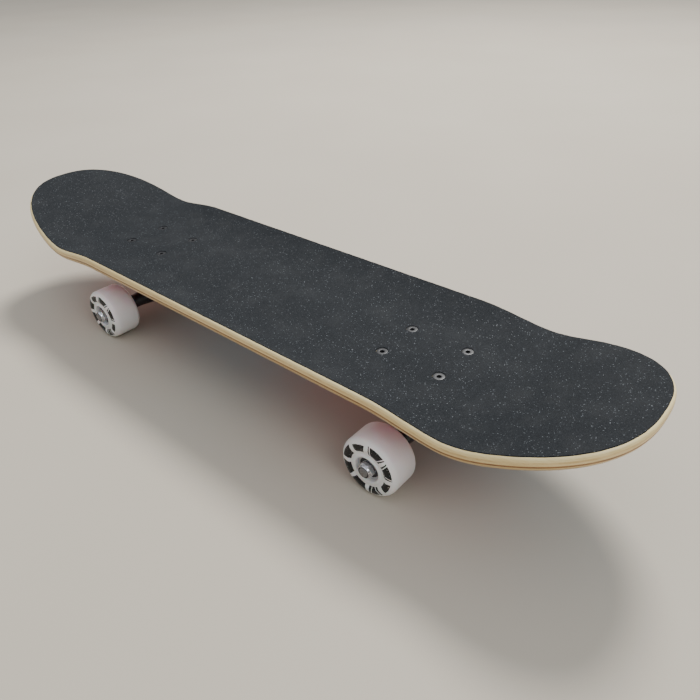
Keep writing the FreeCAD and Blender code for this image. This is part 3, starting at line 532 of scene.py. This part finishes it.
castings = {}
for end in TRUCK_X:
    castings[end + "_hanger"] = cast_copy(end + "_hanger_cast", end + "_hanger", 0.65 * MM, 6)
    castings[end + "_baseplate"] = cast_copy(end + "_baseplate_cast", end + "_baseplate", 0.65 * MM, 4)
    print(end, "hanger", len(castings[end + "_hanger"].data.polygons), "faces")

# %% [markdown]
# ## Wheels and bearings
#
# A wheel is cast urethane, turned true: a flat tread, big rounded shoulders, a dished side
# face and a raised lip round the bearing. It is one closed profile carried round the axle. Its UV map
# holds the turn around the axle and the radius, so that the printed ring can follow the wheel.

# %% Axle measures
WHEEL_RADIUS, WHEEL_FACE = 26.5 * MM, 18.5 * MM
LIP_RADIUS, BEARING_OUTER = 13.6 * MM, 11.0 * MM
BEARING_WIDTH, SPACER = 7 * MM, 10 * MM
COLUMNS = 160
axle_box = {end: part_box(end + "_axle") for end in TRUCK_X}
AXLE_Z = (axle_box["front"][0].z + axle_box["front"][1].z) / 2
AXLE_X = {end: (axle_box[end][0].x + axle_box[end][1].x) / 2 for end in TRUCK_X}
wheel_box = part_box("front_left_wheel")
INNER_Y, OUTER_Y = wheel_box[0].y, wheel_box[1].y
MIDDLE_Y, HALF = (INNER_Y + OUTER_Y) / 2, (OUTER_Y - INNER_Y) / 2
BEARINGS = (MIDDLE_Y - SPACER / 2 - BEARING_WIDTH, MIDDLE_Y + SPACER / 2)


def round_axle(profile, end, side, count=COLUMNS):
    """A profile of (radius, distance from the board's middle) carried round an axle's line."""
    rows = np.array([p[:2] for p in profile], float)
    hand = 1 if side == "left" else -1
    turn = np.arange(count) * 2 * np.pi / count
    x = AXLE_X[end] + rows[:, :1] * np.cos(turn)
    z = AXLE_Z + rows[:, :1] * np.sin(turn)
    return np.stack([x, hand * rows[:, 1:2] + 0 * x, z], -1)


def wheel_rows():
    """The wheel's closed profile, from the middle of the bore out over the side face, across the tread
    and back. Shoulder: a quarter of a superellipse; tread: straight."""
    flat, depth = WHEEL_FACE, 6.0 * MM
    half = softened([(8.0 * MM, 0.0), (8.0 * MM, SPACER / 2), (BEARING_OUTER, SPACER / 2),
                     (BEARING_OUTER, HALF - 0.6 * MM), (BEARING_OUTER + 0.5 * MM, HALF - 0.05 * MM),
                     (LIP_RADIUS - 0.5 * MM, HALF - 0.05 * MM), (LIP_RADIUS + 0.1 * MM, HALF - 0.8 * MM),
                     (16.0 * MM, HALF - 0.95 * MM), (flat - 0.5 * MM, HALF - 0.15 * MM)], 0.45 * MM, 4)
    for a in np.linspace(0, np.pi / 2, 14):
        out = (WHEEL_RADIUS - flat) * math.sin(a) ** 0.92
        half.append((flat + out, HALF - depth * (1 - math.cos(a) ** 0.92)))
    half += [(WHEEL_RADIUS, HALF - depth - k) for k in np.linspace(0.8 * MM, HALF - depth, 6)]
    outer = [(row[0], MIDDLE_Y + row[1]) for row in half]
    return outer + [(row[0], MIDDLE_Y - row[1]) for row in half[-2::-1]]


def wheel_uv(rows, count=COLUMNS):
    """U is the share of a turn, V the radius in centimetres; one column more than the grid has."""
    u = np.linspace(0, 1, count + 1)[None] + 0 * rows[:, :1]
    return np.stack([u, rows[:, :1] * 100 + 0 * u], -1)


# %% Turn the wheels
wheels = {}
for end in TRUCK_X:
    for side in ("left", "right"):
        rows = np.array(wheel_rows())
        name, grid = f"{end}_{side}_wheel", round_axle(rows, end, side)
        wheels[name] = make_piece(name + "_finished", [grid], merge=0.002 * MM, uv=[wheel_uv(rows)])
print("wheel", len(wheels["front_left_wheel"].data.polygons), "faces, half width", round(HALF, 4))

# %% [markdown]
# A ball bearing shows its two steel rings with a black shield between them. Rings, shields, washers and the
# axle nut are more closed profiles round the same line. The outer two washers and the nut are what
# shows from the side, so the nut gets its turned flange, collar and insert.

# %% Bearings, washers and axle nuts
def ring_rows(inner, outer, start, end, soft):
    """A plain ring with softened corners."""
    seam = (inner, (start + end) / 2)
    return softened([seam, (inner, start), (outer, start), (outer, end), (inner, end), seam], soft, 3)


def shield_rows(start, outward):
    """A pressed shield: thin sheet with a rolled rim at the outer ring and a step near the inner one."""
    face = start + (BEARING_WIDTH - 0.35 * MM if outward else 0.35 * MM)
    back = -0.3 * MM if outward else 0.3 * MM
    line = [(6.4 * MM, 0), (7.0 * MM, 0), (7.2 * MM, 0.5), (8.4 * MM, 0.5), (8.55 * MM, 0), (8.98 * MM, 0)]
    front = [(r, face + back * k) for r, k in line]
    return softened(front + [(r, h + back) for r, h in front[::-1]] + front[:1], 0.1 * MM, 2)


AXLE_NUT_FLATS, AXLE_NUT_HEIGHT, AXLE_RADIUS, WASHER = 12.7 * MM, 6.2 * MM, 3.95 * MM, 0.8 * MM
THREAD_LENGTH = 12 * MM
AXLE_NUT_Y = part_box("front_axle_nuts")[1].y - AXLE_NUT_HEIGHT
AXLE_END_Y = axle_box["front"][1].y
WASHER_FACES = (BEARINGS[0] - 0.85 * MM, BEARINGS[1] + BEARING_WIDTH + 0.05 * MM)


def side_grids(end, side):
    """The grids of every small piece at one end of an axle, by the ending of the piece's name."""
    outside = BEARING_OUTER - 0.01 * MM
    outer = [ring_rows(9.0 * MM, outside, b, b + BEARING_WIDTH, 0.35 * MM) for b in BEARINGS]
    inner = [ring_rows(4.0 * MM, 6.1 * MM, b, b + BEARING_WIDTH, 0.3 * MM) for b in BEARINGS]
    shields = [shield_rows(b, outward) for b in BEARINGS for outward in (True, False)]
    washers = [ring_rows(4.1 * MM, 6.0 * MM, face, face + WASHER, 0.2 * MM) for face in WASHER_FACES]
    hand = 1 if side == "left" else -1
    seat, outward = (AXLE_X[end], hand * AXLE_NUT_Y, AXLE_Z), (0, hand, 0)
    nut = lock_nut(AXLE_NUT_FLATS, AXLE_NUT_HEIGHT, AXLE_RADIUS)
    screw = thread(3.93 * MM, 1.06 * MM, 0.4 * MM, 0, THREAD_LENGTH, 40, 8)
    start = (AXLE_X[end], hand * (AXLE_END_Y - THREAD_LENGTH), AXLE_Z)
    return {
        "outer_rings": [round_axle(rows, end, side, 96) for rows in outer],
        "shields": [round_axle(rows, end, side, 96) for rows in shields],
        "inner_rings": [round_axle(rows, end, side, 72) for rows in inner],
        "speed_washers": [round_axle(rows, end, side, 72) for rows in washers],
        "axle_nuts": [turned(nut, 48, seat, outward)],
        "axle_nut_inserts": [turned(nylon_ring(AXLE_NUT_HEIGHT, AXLE_RADIUS), 48, seat, outward)],
        "axle": [along(screw, start, outward)],
    }


bearings = {}
for end in TRUCK_X:
    grids = {side: side_grids(end, side) for side in ("left", "right")}
    for side in grids:
        for part in ("outer_rings", "shields"):
            name = f"{end}_{side}_{part}"
            bearings[name] = make_piece(name + "_finished", grids[side][part])
    both = {part: grids["left"][part] + grids["right"][part] for part in grids["left"]}
    reach = AXLE_END_Y - THREAD_LENGTH + 1 * MM
    rod = [(0, -reach), (AXLE_RADIUS, -reach), (AXLE_RADIUS, reach), (0, reach)]
    both["axle"].append(turned(rod, 48, (AXLE_X[end], 0, AXLE_Z), (0, 1, 0)))
    for part in ("inner_rings", "speed_washers", "axle_nuts", "axle"):
        bearings[f"{end}_{part}"] = make_piece(f"{end}_{part}_finished", both[part])
    bearings[end + "_axle_insert"] = make_piece(end + "_axle_nut_inserts", both["axle_nut_inserts"])
print("bearing pieces", len(bearings))

# %% [markdown]
# ## Shader helpers
#
# Every finish is a few nodes. One helper adds a node and fills its sockets with numbers, colours or other
# nodes' outputs, which keeps each material close to a sentence.

# %% Node helpers
def fill_socket(tree, socket, value):
    """Joins another node's output to a socket, or sets the socket to a number or a colour."""
    if isinstance(value, bpy.types.NodeSocket):
        tree.links.new(value, socket)
    else:
        socket.default_value = (*value, 1)[:4] if socket.type == "RGBA" else value


def add(tree, kind, fill=None, **settings):
    """Adds a node, sets its options, and fills sockets given by name or number."""
    node = tree.nodes.new(kind)
    for key, value in settings.items():
        setattr(node, key, value)
    for key, value in (fill or {}).items():
        fill_socket(tree, node.inputs[key], value)
    return node


def maths(tree, operation, *values):
    """One step of arithmetic on numbers or outputs."""
    return add(tree, "ShaderNodeMath", dict(enumerate(values)), operation=operation).outputs[0]


def plus(tree, a, b):
    """a + b."""
    return maths(tree, "ADD", a, b)


def minus(tree, a, b):
    """a - b."""
    return maths(tree, "SUBTRACT", a, b)


def times(tree, a, b):
    """a * b."""
    return maths(tree, "MULTIPLY", a, b)


def split(tree, vector):
    """The three parts of a vector or colour."""
    return add(tree, "ShaderNodeSeparateXYZ", {0: vector}).outputs


def facing(tree):
    """The three parts of the direction that the surface faces."""
    return split(tree, add(tree, "ShaderNodeNewGeometry").outputs["Normal"])


def ramp(tree, value, low, high, out_low=0.0, out_high=1.0):
    """Value from low..high to out_low..out_high with soft ends."""
    fill = {0: value, 1: low, 2: high, 3: out_low, 4: out_high}
    return add(tree, "ShaderNodeMapRange", fill, interpolation_type="SMOOTHSTEP").outputs[0]


def mixed(tree, factor, a, b):
    """Colour a where factor is 0 and colour b where it is 1."""
    return add(tree, "ShaderNodeMix", {0: factor, 6: a, 7: b}, data_type="RGBA").outputs[2]


def noise(tree, place, scale, detail=3.0, roughness=0.5, distortion=0.0):
    """Cloudy noise from 0 to 1, with scale cells to the metre."""
    fill = {"Vector": place, "Scale": scale, "Detail": detail}
    fill.update({"Roughness": roughness, "Distortion": distortion})
    return add(tree, "ShaderNodeTexNoise", fill).outputs[0]


def object_place(tree, stretch=(1, 1, 1)):
    """Object coordinates, in metres, stretched before a pattern reads them."""
    place = add(tree, "ShaderNodeTexCoord").outputs["Object"]
    return add(tree, "ShaderNodeMapping", {"Vector": place, "Scale": stretch}).outputs[0]


def new_finish(name, **sockets):
    """An empty material with one Principled shader whose plain sockets are set here."""
    finish = bpy.data.materials.new(name)
    finish.use_nodes = True
    shader = finish.node_tree.nodes["Principled BSDF"]
    for key, value in sockets.items():
        shader.inputs[key.replace("_", " ")].default_value = value
    return finish, finish.node_tree, shader


def wire(tree, shader, color, rough):
    """Joins a colour and a roughness to the shader."""
    tree.links.new(color, shader.inputs["Base Color"])
    tree.links.new(rough, shader.inputs["Roughness"])


def bump(tree, shader, height, strength, distance):
    """Tilts the shading by a height."""
    fill = {"Height": height, "Strength": strength, "Distance": distance}
    tree.links.new(add(tree, "ShaderNodeBump", fill).outputs[0], shader.inputs["Normal"])


def new_group(name, inputs, outputs):
    """A node group with named sockets: inputs as (name, kind, default), outputs as (name, kind)."""
    tree = bpy.data.node_groups.new(name, "ShaderNodeTree")
    for label, kind, default in inputs:
        socket = tree.interface.new_socket(label, in_out="INPUT", socket_type=kind)
        socket.default_value = default
    for label, kind in outputs:
        tree.interface.new_socket(label, in_out="OUTPUT", socket_type=kind)
    return tree, tree.nodes.new("NodeGroupInput").outputs, tree.nodes.new("NodeGroupOutput").inputs


# %% [markdown]
# ### Shared effects
#
# Three effects turn up on more than one finish, so each is a group: the streaks of sliced maple, the
# handling marks that break up any smooth surface, and the dust that settles on what faces up.

# %% Groups
FLOAT, COLOR, VECTOR = "NodeSocketFloat", "NodeSocketColor", "NodeSocketVector"


def make_grain():
    """Long fibres: noise stretched along one direction, at three widths, plus rare dark flecks."""
    inputs = [("Place", VECTOR, (0, 0, 0)), ("Pale", COLOR, (0.8, 0.6, 0.4, 1)),
              ("Dark", COLOR, (0.5, 0.3, 0.15, 1)), ("Contrast", FLOAT, 0.5)]
    tree, given, out = new_group("maple grain", inputs, [("Color", COLOR), ("Height", FLOAT)])
    broad = noise(tree, given["Place"], 14, 4, 0.55, 0.6)
    fine = noise(tree, given["Place"], 90, 3, 0.6)
    fleck = ramp(tree, noise(tree, given["Place"], 34, 2, 0.5, 1.0), 0.70, 0.80)
    streak = plus(tree, times(tree, broad, 0.65), times(tree, fine, 0.35))
    weight = times(tree, ramp(tree, streak, 0.38, 0.66), given["Contrast"])
    color = mixed(tree, weight, given["Pale"], given["Dark"])
    color = mixed(tree, times(tree, fleck, 0.35), color, (0.22, 0.10, 0.04))
    tree.links.new(color, out["Color"])
    tree.links.new(fine, out["Height"])
    return tree


def make_handling():
    """Smudges and hairline scratches as one roughness change and one height."""
    inputs = [("Place", VECTOR, (0, 0, 0)), ("Base", FLOAT, 0.4), ("Spread", FLOAT, 0.15)]
    tree, given, out = new_group("handling marks", inputs, [("Roughness", FLOAT), ("Height", FLOAT)])
    smudge = noise(tree, given["Place"], 55, 5, 0.6, 0.4)
    slant = {"Vector": given["Place"], "Scale": (1, 14, 3), "Rotation": (0.3, 0.4, 0.9)}
    lines = add(tree, "ShaderNodeMapping", slant).outputs[0]
    scratch = ramp(tree, noise(tree, lines, 160, 2, 0.5), 0.62, 0.74)
    rough = plus(tree, given["Base"], times(tree, minus(tree, smudge, 0.5), given["Spread"]))
    rough = plus(tree, rough, times(tree, scratch, 0.08))
    tree.links.new(rough, out["Roughness"])
    tree.links.new(times(tree, scratch, -0.5), out["Height"])
    return tree


def make_dust():
    """How much pale dust lies here: patchy, and only where the surface faces up."""
    inputs = [("Place", VECTOR, (0, 0, 0)), ("Amount", FLOAT, 0.2)]
    tree, given, out = new_group("settled dust", inputs, [("Mask", FLOAT)])
    up = facing(tree)[2]
    patch = ramp(tree, noise(tree, given["Place"], 38, 6, 0.65), 0.42, 0.72)
    mask = times(tree, times(tree, ramp(tree, up, 0.2, 0.95), patch), given["Amount"])
    tree.links.new(mask, out["Mask"])
    return tree


GRAIN, HANDLING, DUST = make_grain(), make_handling(), make_dust()


def grouped(tree, group, fill):
    """Puts a shared effect into a material and fills its sockets."""
    return add(tree, "ShaderNodeGroup", fill, node_tree=group).outputs


# %% [markdown]
# ### Maple
#
# Sliced maple is pale cream with faint fibres. At the deck's edge the five lengthwise veneers show their
# side grain and the two cross veneers their end grain, which drinks more lacquer and looks darker.
# The back veneer is stained, and its graphic is printed on it.

# %% Wood finishes
def maple(name, pale, dark, contrast, stretch):
    """Clear-lacquered veneer whose fibres run along the stretched direction."""
    finish, tree, shader = new_finish(name, Coat_Weight=0.18, Coat_Roughness=0.25, IOR=1.5)
    place = object_place(tree, stretch)
    grain = grouped(tree, GRAIN, {"Place": place, "Pale": pale, "Dark": dark, "Contrast": contrast})
    plain = object_place(tree)
    marks = grouped(tree, HANDLING, {"Place": plain, "Base": 0.46, "Spread": 0.15})
    wire(tree, shader, grain["Color"], marks["Roughness"])
    bump(tree, shader, grain["Height"], 0.25, 0.1 * MM)
    return finish


LENGTHWISE, CROSSWISE = (0.35, 7.0, 22.0), (6.0, 0.6, 22.0)
# The lengthwise veneers are painted a step darker from the face down to the lowest core; that steady
# darkening is painted shade on the lower part of the deck's edge.
wood = {
    "ply_1_face": maple("maple face", (0.90, 0.75, 0.40), (0.74, 0.53, 0.21), 0.45, LENGTHWISE),
    "ply_2_core": maple("maple core upper", (0.86, 0.69, 0.35), (0.68, 0.46, 0.17), 0.5, LENGTHWISE),
    "ply_3_cross": maple("maple cross upper", (0.77, 0.57, 0.27), (0.54, 0.34, 0.12), 0.6, CROSSWISE),
    "ply_4_core": maple("maple core middle", (0.81, 0.62, 0.31), (0.62, 0.41, 0.15), 0.5, LENGTHWISE),
    "ply_5_cross": maple("maple cross lower", (0.36, 0.18, 0.06), (0.17, 0.075, 0.025), 0.8, CROSSWISE),
    "ply_6_core": maple("maple core lower", (0.73, 0.54, 0.26), (0.52, 0.33, 0.12), 0.5, LENGTHWISE),
}


def printed_back():
    """Red-stained veneer with a pale blue graphic of soft bands, printed only on the face below."""
    finish, tree, shader = new_finish("printed back veneer", Coat_Weight=0.35, Coat_Roughness=0.12, IOR=1.5)
    place = object_place(tree)
    grain = grouped(tree, GRAIN, {"Place": object_place(tree, LENGTHWISE), "Pale": (0.62, 0.075, 0.075),
                                  "Dark": (0.36, 0.03, 0.035), "Contrast": 0.7})
    wood_grain = grouped(tree, GRAIN, {"Place": object_place(tree, LENGTHWISE), "Pale": (0.62, 0.42, 0.2),
                                       "Dark": (0.42, 0.25, 0.1), "Contrast": 0.6})
    x, y = split(tree, place)[:2]
    drift = times(tree, noise(tree, place, 7, 2, 0.5), 0.09)
    sweep = plus(tree, plus(tree, x, times(tree, y, 0.9)), drift)
    wave = maths(tree, "SINE", times(tree, sweep, 17.0))
    band = ramp(tree, wave, 0.18, 0.24)
    line = times(tree, ramp(tree, wave, -0.06, -0.02), ramp(tree, wave, 0.08, 0.04))
    blue = mixed(tree, noise(tree, place, 30, 4, 0.6), (0.10, 0.30, 0.62), (0.20, 0.46, 0.78))
    print_color = mixed(tree, band, grain["Color"], blue)
    print_color = mixed(tree, line, print_color, (0.85, 0.85, 0.82))
    below = ramp(tree, facing(tree)[2], -0.86, -0.93)
    color = mixed(tree, below, wood_grain["Color"], print_color)
    marks = grouped(tree, HANDLING, {"Place": place, "Base": 0.3, "Spread": 0.2})
    wire(tree, shader, color, marks["Roughness"])
    bump(tree, shader, grain["Height"], 0.12, 0.08 * MM)
    return finish


wood["ply_7_back"] = printed_back()
print("wood finishes", len(wood))

# %% [markdown]
# ### Grip tape
#
# Silicon carbide grit is glued to a black sheet. Each grain is a chip about half a millimetre wide that faces
# its own way, so at any moment most are dark and a few flash. Two cell patterns give every chip its own tilt
# and tone.

# %% Grip finish
def grip_tape():
    """Black abrasive sheet: each cell is a grain with its own tone and height, and a rare few get a painted
    glint, a bright colour in place of light flashing off a chip.
    """
    finish, tree, shader = new_finish("grip tape", IOR=1.6, Specular_IOR_Level=0.15)
    place = object_place(tree)
    cells = add(tree, "ShaderNodeTexVoronoi", {"Vector": place, "Scale": 2600.0, "Randomness": 1.0})
    chips = add(tree, "ShaderNodeTexVoronoi", {"Vector": place, "Scale": 1900.0, "Randomness": 1.0})
    tone = split(tree, cells.outputs["Color"])
    chip = split(tree, chips.outputs["Color"])
    wide = noise(tree, place, 16, 4, 0.6)
    base = mixed(tree, wide, (0.0055, 0.007, 0.009), (0.0085, 0.0105, 0.013))
    base = mixed(tree, ramp(tree, tone[0], 0.45, 1.0, 0.0, 0.5), base, (0.040, 0.046, 0.052))
    base = mixed(tree, ramp(tree, chip[1], 0.0, 0.45, 0.5, 0.0), base, (0.003, 0.0035, 0.0045))
    # Painted glint: a few cells get a bright colour that stands in for light flashing off a grain, and are
    # also made smoother.
    painted_glint = ramp(tree, chip[0], 0.98, 1.0)
    color = mixed(tree, painted_glint, base, (0.16, 0.175, 0.19))
    dust = grouped(tree, DUST, {"Place": place, "Amount": 0.08})
    color = mixed(tree, dust["Mask"], color, (0.10, 0.10, 0.098))
    wire(tree, shader, color, minus(tree, 0.78, times(tree, painted_glint, 0.45)))
    dip = times(tree, cells.outputs["Distance"], -0.8)
    height = plus(tree, dip, times(tree, chip[2], 0.9))
    bump(tree, shader, height, 0.55, 0.22 * MM)
    return finish


# %% [markdown]
# ### Metals, urethane and plastics
#
# The castings are painted satin black over a faint orange-peel surface, zinc plate is bright with a bluish
# cast, bolts are black oxide, bearing rings are ground bright. Cast urethane is
# milky: light goes a little way in before it comes back, so it gets subsurface scatter.

# %% Metal finishes
def metal(name, color, rough, spread, metallic=1.0, peel=0.0, dust=0.0, coat=0.0):
    """Metal or paint with blotches, handling marks, a skin texture and perhaps dust."""
    finish, tree, shader = new_finish(name, Metallic=metallic, Coat_Weight=coat, Coat_Roughness=0.2)
    place = object_place(tree)
    marks = grouped(tree, HANDLING, {"Place": place, "Base": rough, "Spread": spread})
    blotch = times(tree, noise(tree, place, 120, 4, 0.6), 0.35)
    tint = mixed(tree, blotch, color, tuple(c * 0.72 for c in color))
    if dust:
        mask = grouped(tree, DUST, {"Place": place, "Amount": dust})["Mask"]
        tint = mixed(tree, mask, tint, (0.34, 0.32, 0.29))
    wire(tree, shader, tint, marks["Roughness"])
    skin = plus(tree, marks["Height"], times(tree, noise(tree, place, 520, 3, 0.55), peel))
    bump(tree, shader, skin, 0.3, 0.12 * MM)
    return finish


metals = {
    "black_casting": metal("black painted casting", (0.018, 0.019, 0.022), 0.38, 0.2, 0.0, 1.6, 0.10, 0.25),
    "axle_steel": metal("turned steel", (0.34, 0.34, 0.35), 0.30, 0.2),
    "zinc_steel": metal("zinc plate", (0.66, 0.68, 0.72), 0.17, 0.16, 1.0, 0.4),
    "black_steel": metal("black oxide steel", (0.014, 0.014, 0.016), 0.42, 0.2, 0.3, 0.6, 0.04),
    "bearing_steel": metal("bearing steel", (0.70, 0.71, 0.73), 0.12, 0.1),
}


# %% Urethane, rubber and nylon finishes
def moulded(name, color, shade, rough, scatter=0.0, dust=0.0, peel=0.5):
    """Cast or moulded plastic, which lets light a little way in if it scatters."""
    finish, tree, shader = new_finish(name, Subsurface_Weight=scatter, Subsurface_Scale=0.004, IOR=1.5)
    place = object_place(tree)
    tint = mixed(tree, noise(tree, place, 45, 4, 0.6), color, shade)
    if dust:
        mask = grouped(tree, DUST, {"Place": place, "Amount": dust})["Mask"]
        tint = mixed(tree, mask, tint, (0.42, 0.39, 0.35))
    marks = grouped(tree, HANDLING, {"Place": place, "Base": rough, "Spread": 0.2})
    wire(tree, shader, tint, marks["Roughness"])
    skin = plus(tree, marks["Height"], times(tree, noise(tree, place, 700, 3, 0.55), peel))
    bump(tree, shader, skin, 0.2, 0.08 * MM)
    return finish


def printed_urethane():
    """White urethane with a ring of black printed blocks. The UV map gives turn and radius: a cell number
    along the turn gives each block its own width, reach and notch."""
    finish, tree, shader = new_finish("printed wheel urethane", Subsurface_Weight=0.22,
                                      Subsurface_Scale=0.006, IOR=1.5, Specular_IOR_Level=0.35)
    place = object_place(tree)
    u, v = split(tree, add(tree, "ShaderNodeTexCoord").outputs["UV"])[:2]
    blocks = 8
    wobble = times(tree, minus(tree, noise(tree, place, 260, 3, 0.6), 0.5), 0.10)
    cell = times(tree, u, float(blocks))
    number = maths(tree, "FLOOR", cell)
    own = add(tree, "ShaderNodeTexWhiteNoise", {"W": number}, noise_dimensions="1D").outputs["Color"]
    width, reach, notch = split(tree, own)
    across = maths(tree, "ABSOLUTE", minus(tree, maths(tree, "FRACT", cell), 0.5))
    across = plus(tree, across, wobble)
    radius = plus(tree, v, wobble)
    half = plus(tree, 0.31, times(tree, width, 0.10))
    half = plus(tree, half, times(tree, minus(tree, radius, 1.9), 0.10))
    inside = maths(tree, "LESS_THAN", across, half)
    low = plus(tree, 1.54, times(tree, reach, 0.14))
    high = plus(tree, 2.24, times(tree, width, 0.16))
    band = times(tree, maths(tree, "GREATER_THAN", radius, low), maths(tree, "LESS_THAN", radius, high))
    cut = plus(tree, times(tree, notch, 0.26), 0.02)
    slanted = times(tree, minus(tree, radius, 1.9), 0.22)
    bar = maths(tree, "ABSOLUTE", minus(tree, minus(tree, across, cut), slanted))
    whole = maths(tree, "LESS_THAN", notch, 0.55)
    solid = maths(tree, "MAXIMUM", maths(tree, "GREATER_THAN", bar, 0.024), whole)
    ink = times(tree, times(tree, inside, band), solid)
    outer = maths(tree, "GREATER_THAN", maths(tree, "ABSOLUTE", facing(tree)[1]), 0.25)
    far_out = maths(tree, "GREATER_THAN", maths(tree, "ABSOLUTE", split(tree, place)[1]), MIDDLE_Y)
    ink = times(tree, times(tree, ink, outer), far_out)
    worn = ramp(tree, noise(tree, place, 900, 3, 0.6), 0.28, 0.36)
    ink = times(tree, ink, worn)
    white = mixed(tree, noise(tree, place, 40, 4, 0.6), (0.90, 0.89, 0.87), (0.84, 0.83, 0.81))
    dust = grouped(tree, DUST, {"Place": place, "Amount": 0.10})
    white = mixed(tree, dust["Mask"], white, (0.55, 0.52, 0.48))
    color = mixed(tree, ink, white, (0.008, 0.008, 0.009))
    marks = grouped(tree, HANDLING, {"Place": place, "Base": 0.34, "Spread": 0.2})
    wire(tree, shader, color, marks["Roughness"])
    rings = {"Vector": object_place(tree, (0, 1, 0)), "Scale": 700.0, "Distortion": 1.5, "Detail": 2.0}
    tread = add(tree, "ShaderNodeTexWave", rings, bands_direction="Y").outputs[1]
    skin = plus(tree, times(tree, tread, 0.3), times(tree, ink, 0.5))
    bump(tree, shader, skin, 0.15, 0.05 * MM)
    return finish


soft = {
    "wheel": printed_urethane(),
    "bushing": moulded("bushing urethane", (0.84, 0.82, 0.76), (0.72, 0.70, 0.64), 0.38, 0.3, 0.15),
    "pivot_cup": moulded("black urethane cup", (0.02, 0.02, 0.022), (0.035, 0.035, 0.037), 0.5),
    "bearing_shield": moulded("black rubber shield", (0.014, 0.014, 0.016), (0.024, 0.024, 0.026), 0.45),
    "nylon": moulded("nylon", (0.72, 0.72, 0.68), (0.60, 0.60, 0.57), 0.4, 0.2),
}
print("finishes", len(metals) + len(soft))

# %% [markdown]
# ## Putting it together
#
# Each finished piece now takes its finish, its body in the mechanism, and the engineering
# nodes it stands for. Balls, cages, spacers and pivot cups are kept as they are and only get a finish.
# A bushing is squeezed between the deck's washer and the steering hanger, so it bends between the two.

# %% Dress the deck and its hardware
slots = {"grip_tape": "grip_tape", "ply_3_cross": "maple_cross", "ply_5_cross": "maple_cross",
         "ply_7_back": "stained_face"}
wood["grip_tape"] = grip_tape()
for name, piece in deck.items():
    dress(piece, "deck", slots.get(name, "maple"), wood[name], name)

steel = {"mounting_bolts": "black_steel", "mounting_nuts": "black_steel", "kingpin": "zinc_steel",
         "kingpin_nut": "zinc_steel", "boardside_washer": "zinc_steel", "roadside_washer": "zinc_steel"}
for end in TRUCK_X:
    for name, slot in steel.items():
        dress(hardware[f"{end}_{name}"], "deck", slot, metals[slot], f"{end}_{name}")
    for name, side, height in (("boardside_bushing", -1, BOARDSIDE_HEIGHT),
                               ("roadside_bushing", 1, ROADSIDE_HEIGHT)):
        bushing = dress(hardware[f"{end}_{name}"], None, "bushing", soft["bushing"], f"{end}_{name}")
        ring, axis = (Vector(v) for v in kingpin_line(end))
        at_hanger, at_washer = (ring + axis * side * (BUSHING_FACE + h) for h in (0, height))
        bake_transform(bushing, "deck", end + "_hanger", at_washer, at_hanger)
    for name in ("bolt_nylon", "kingpin_insert"):
        dress(hardware[f"{end}_{name}"], "deck", "nylon", soft["nylon"])
    dress(castings[end + "_baseplate"], "deck", "black_casting", metals["black_casting"], end + "_baseplate")

# %% Dress the axles and wheels
for end in TRUCK_X:
    hanger = end + "_hanger"
    dress(castings[hanger], hanger, "black_casting", metals["black_casting"], hanger)
    for name, slot in (("axle", "axle_steel"), ("axle_nuts", "zinc_steel"), ("speed_washers", "zinc_steel"),
                       ("inner_rings", "bearing_steel")):
        dress(bearings[f"{end}_{name}"], hanger, slot, metals[slot], f"{end}_{name}")
    dress(bearings[end + "_axle_insert"], hanger, "bearing_shield", soft["bearing_shield"])
    for side in ("left", "right"):
        name = f"{end}_{side}"
        body, rings, shields = name + "_wheel", name + "_outer_rings", name + "_shields"
        dress(wheels[body], body, "wheel", soft["wheel"], body)
        dress(bearings[rings], body, "bearing_steel", metals["bearing_steel"], rings)
        dress(bearings[shields], body, "bearing_shield", soft["bearing_shield"], shields)

kept = {"_balls": metals["bearing_steel"], "_ball_cages": soft["nylon"], "_spacers": metals["axle_steel"],
        "_pivot_cup": soft["pivot_cup"]}
for name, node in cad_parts.items():
    for ending, finish in kept.items():
        if name.endswith(ending):
            node.data.materials.clear()
            node.data.materials.append(finish)
            print("kept", name)

# %% [markdown]
# ## Floor and light
#
# A pale plain floor under the wheels. The brightest light stands beyond the board, so its shadow falls
# towards the viewer and the near edge of the wood catches the floor's glow. A dim broad light in front keeps
# the shadow side readable.

# %% Floor and lights
floor = bpy.data.objects.new("floor", bpy.data.meshes.new("floor"))
SPAN = 30.0
corners = [(-SPAN, -SPAN, 0), (SPAN, -SPAN, 0), (SPAN, SPAN, 0), (-SPAN, SPAN, 0)]
floor.data.from_pydata(corners, [], [(0, 1, 2, 3)])
bpy.context.scene.collection.objects.link(floor)
paper, tree, shader = new_finish("paper floor", Roughness=0.85)
tone = mixed(tree, noise(tree, object_place(tree), 3, 2, 0.5), (0.45, 0.40, 0.325), (0.50, 0.45, 0.37))
tree.links.new(tone, shader.inputs["Base Color"])
floor.data.materials.append(paper)


def area_light(name, place, target, size, power, color):
    """A round soft light at a place, turned to its target."""
    light = bpy.data.objects.new(name, bpy.data.lights.new(name, "AREA"))
    light.data.shape, light.data.size, light.data.energy, light.data.color = "DISK", size, power, color
    light.location = place
    light.rotation_euler = (Vector(target) - Vector(place)).to_track_quat("-Z", "Y").to_euler()
    bpy.context.scene.collection.objects.link(light)


area_light("key", (0.5, -2.0, 2.8), (0.1, 0, 0.05), 1.0, 150, (1.0, 0.99, 0.97))
area_light("window", (-2.4, 0.6, 2.2), (0, 0, 0.05), 1.6, 28, (0.96, 0.98, 1.0))
world = bpy.data.worlds.new("room")
world.use_nodes = True
sky = world.node_tree
height = split(sky, add(sky, "ShaderNodeTexCoord").outputs["Generated"])[2]
glow = mixed(sky, ramp(sky, height, 0.15, 0.95), (0.17, 0.16, 0.15), (1.00, 1.05, 1.12))
sky.links.new(glow, sky.nodes["Background"].inputs["Color"])
bpy.context.scene.world = world
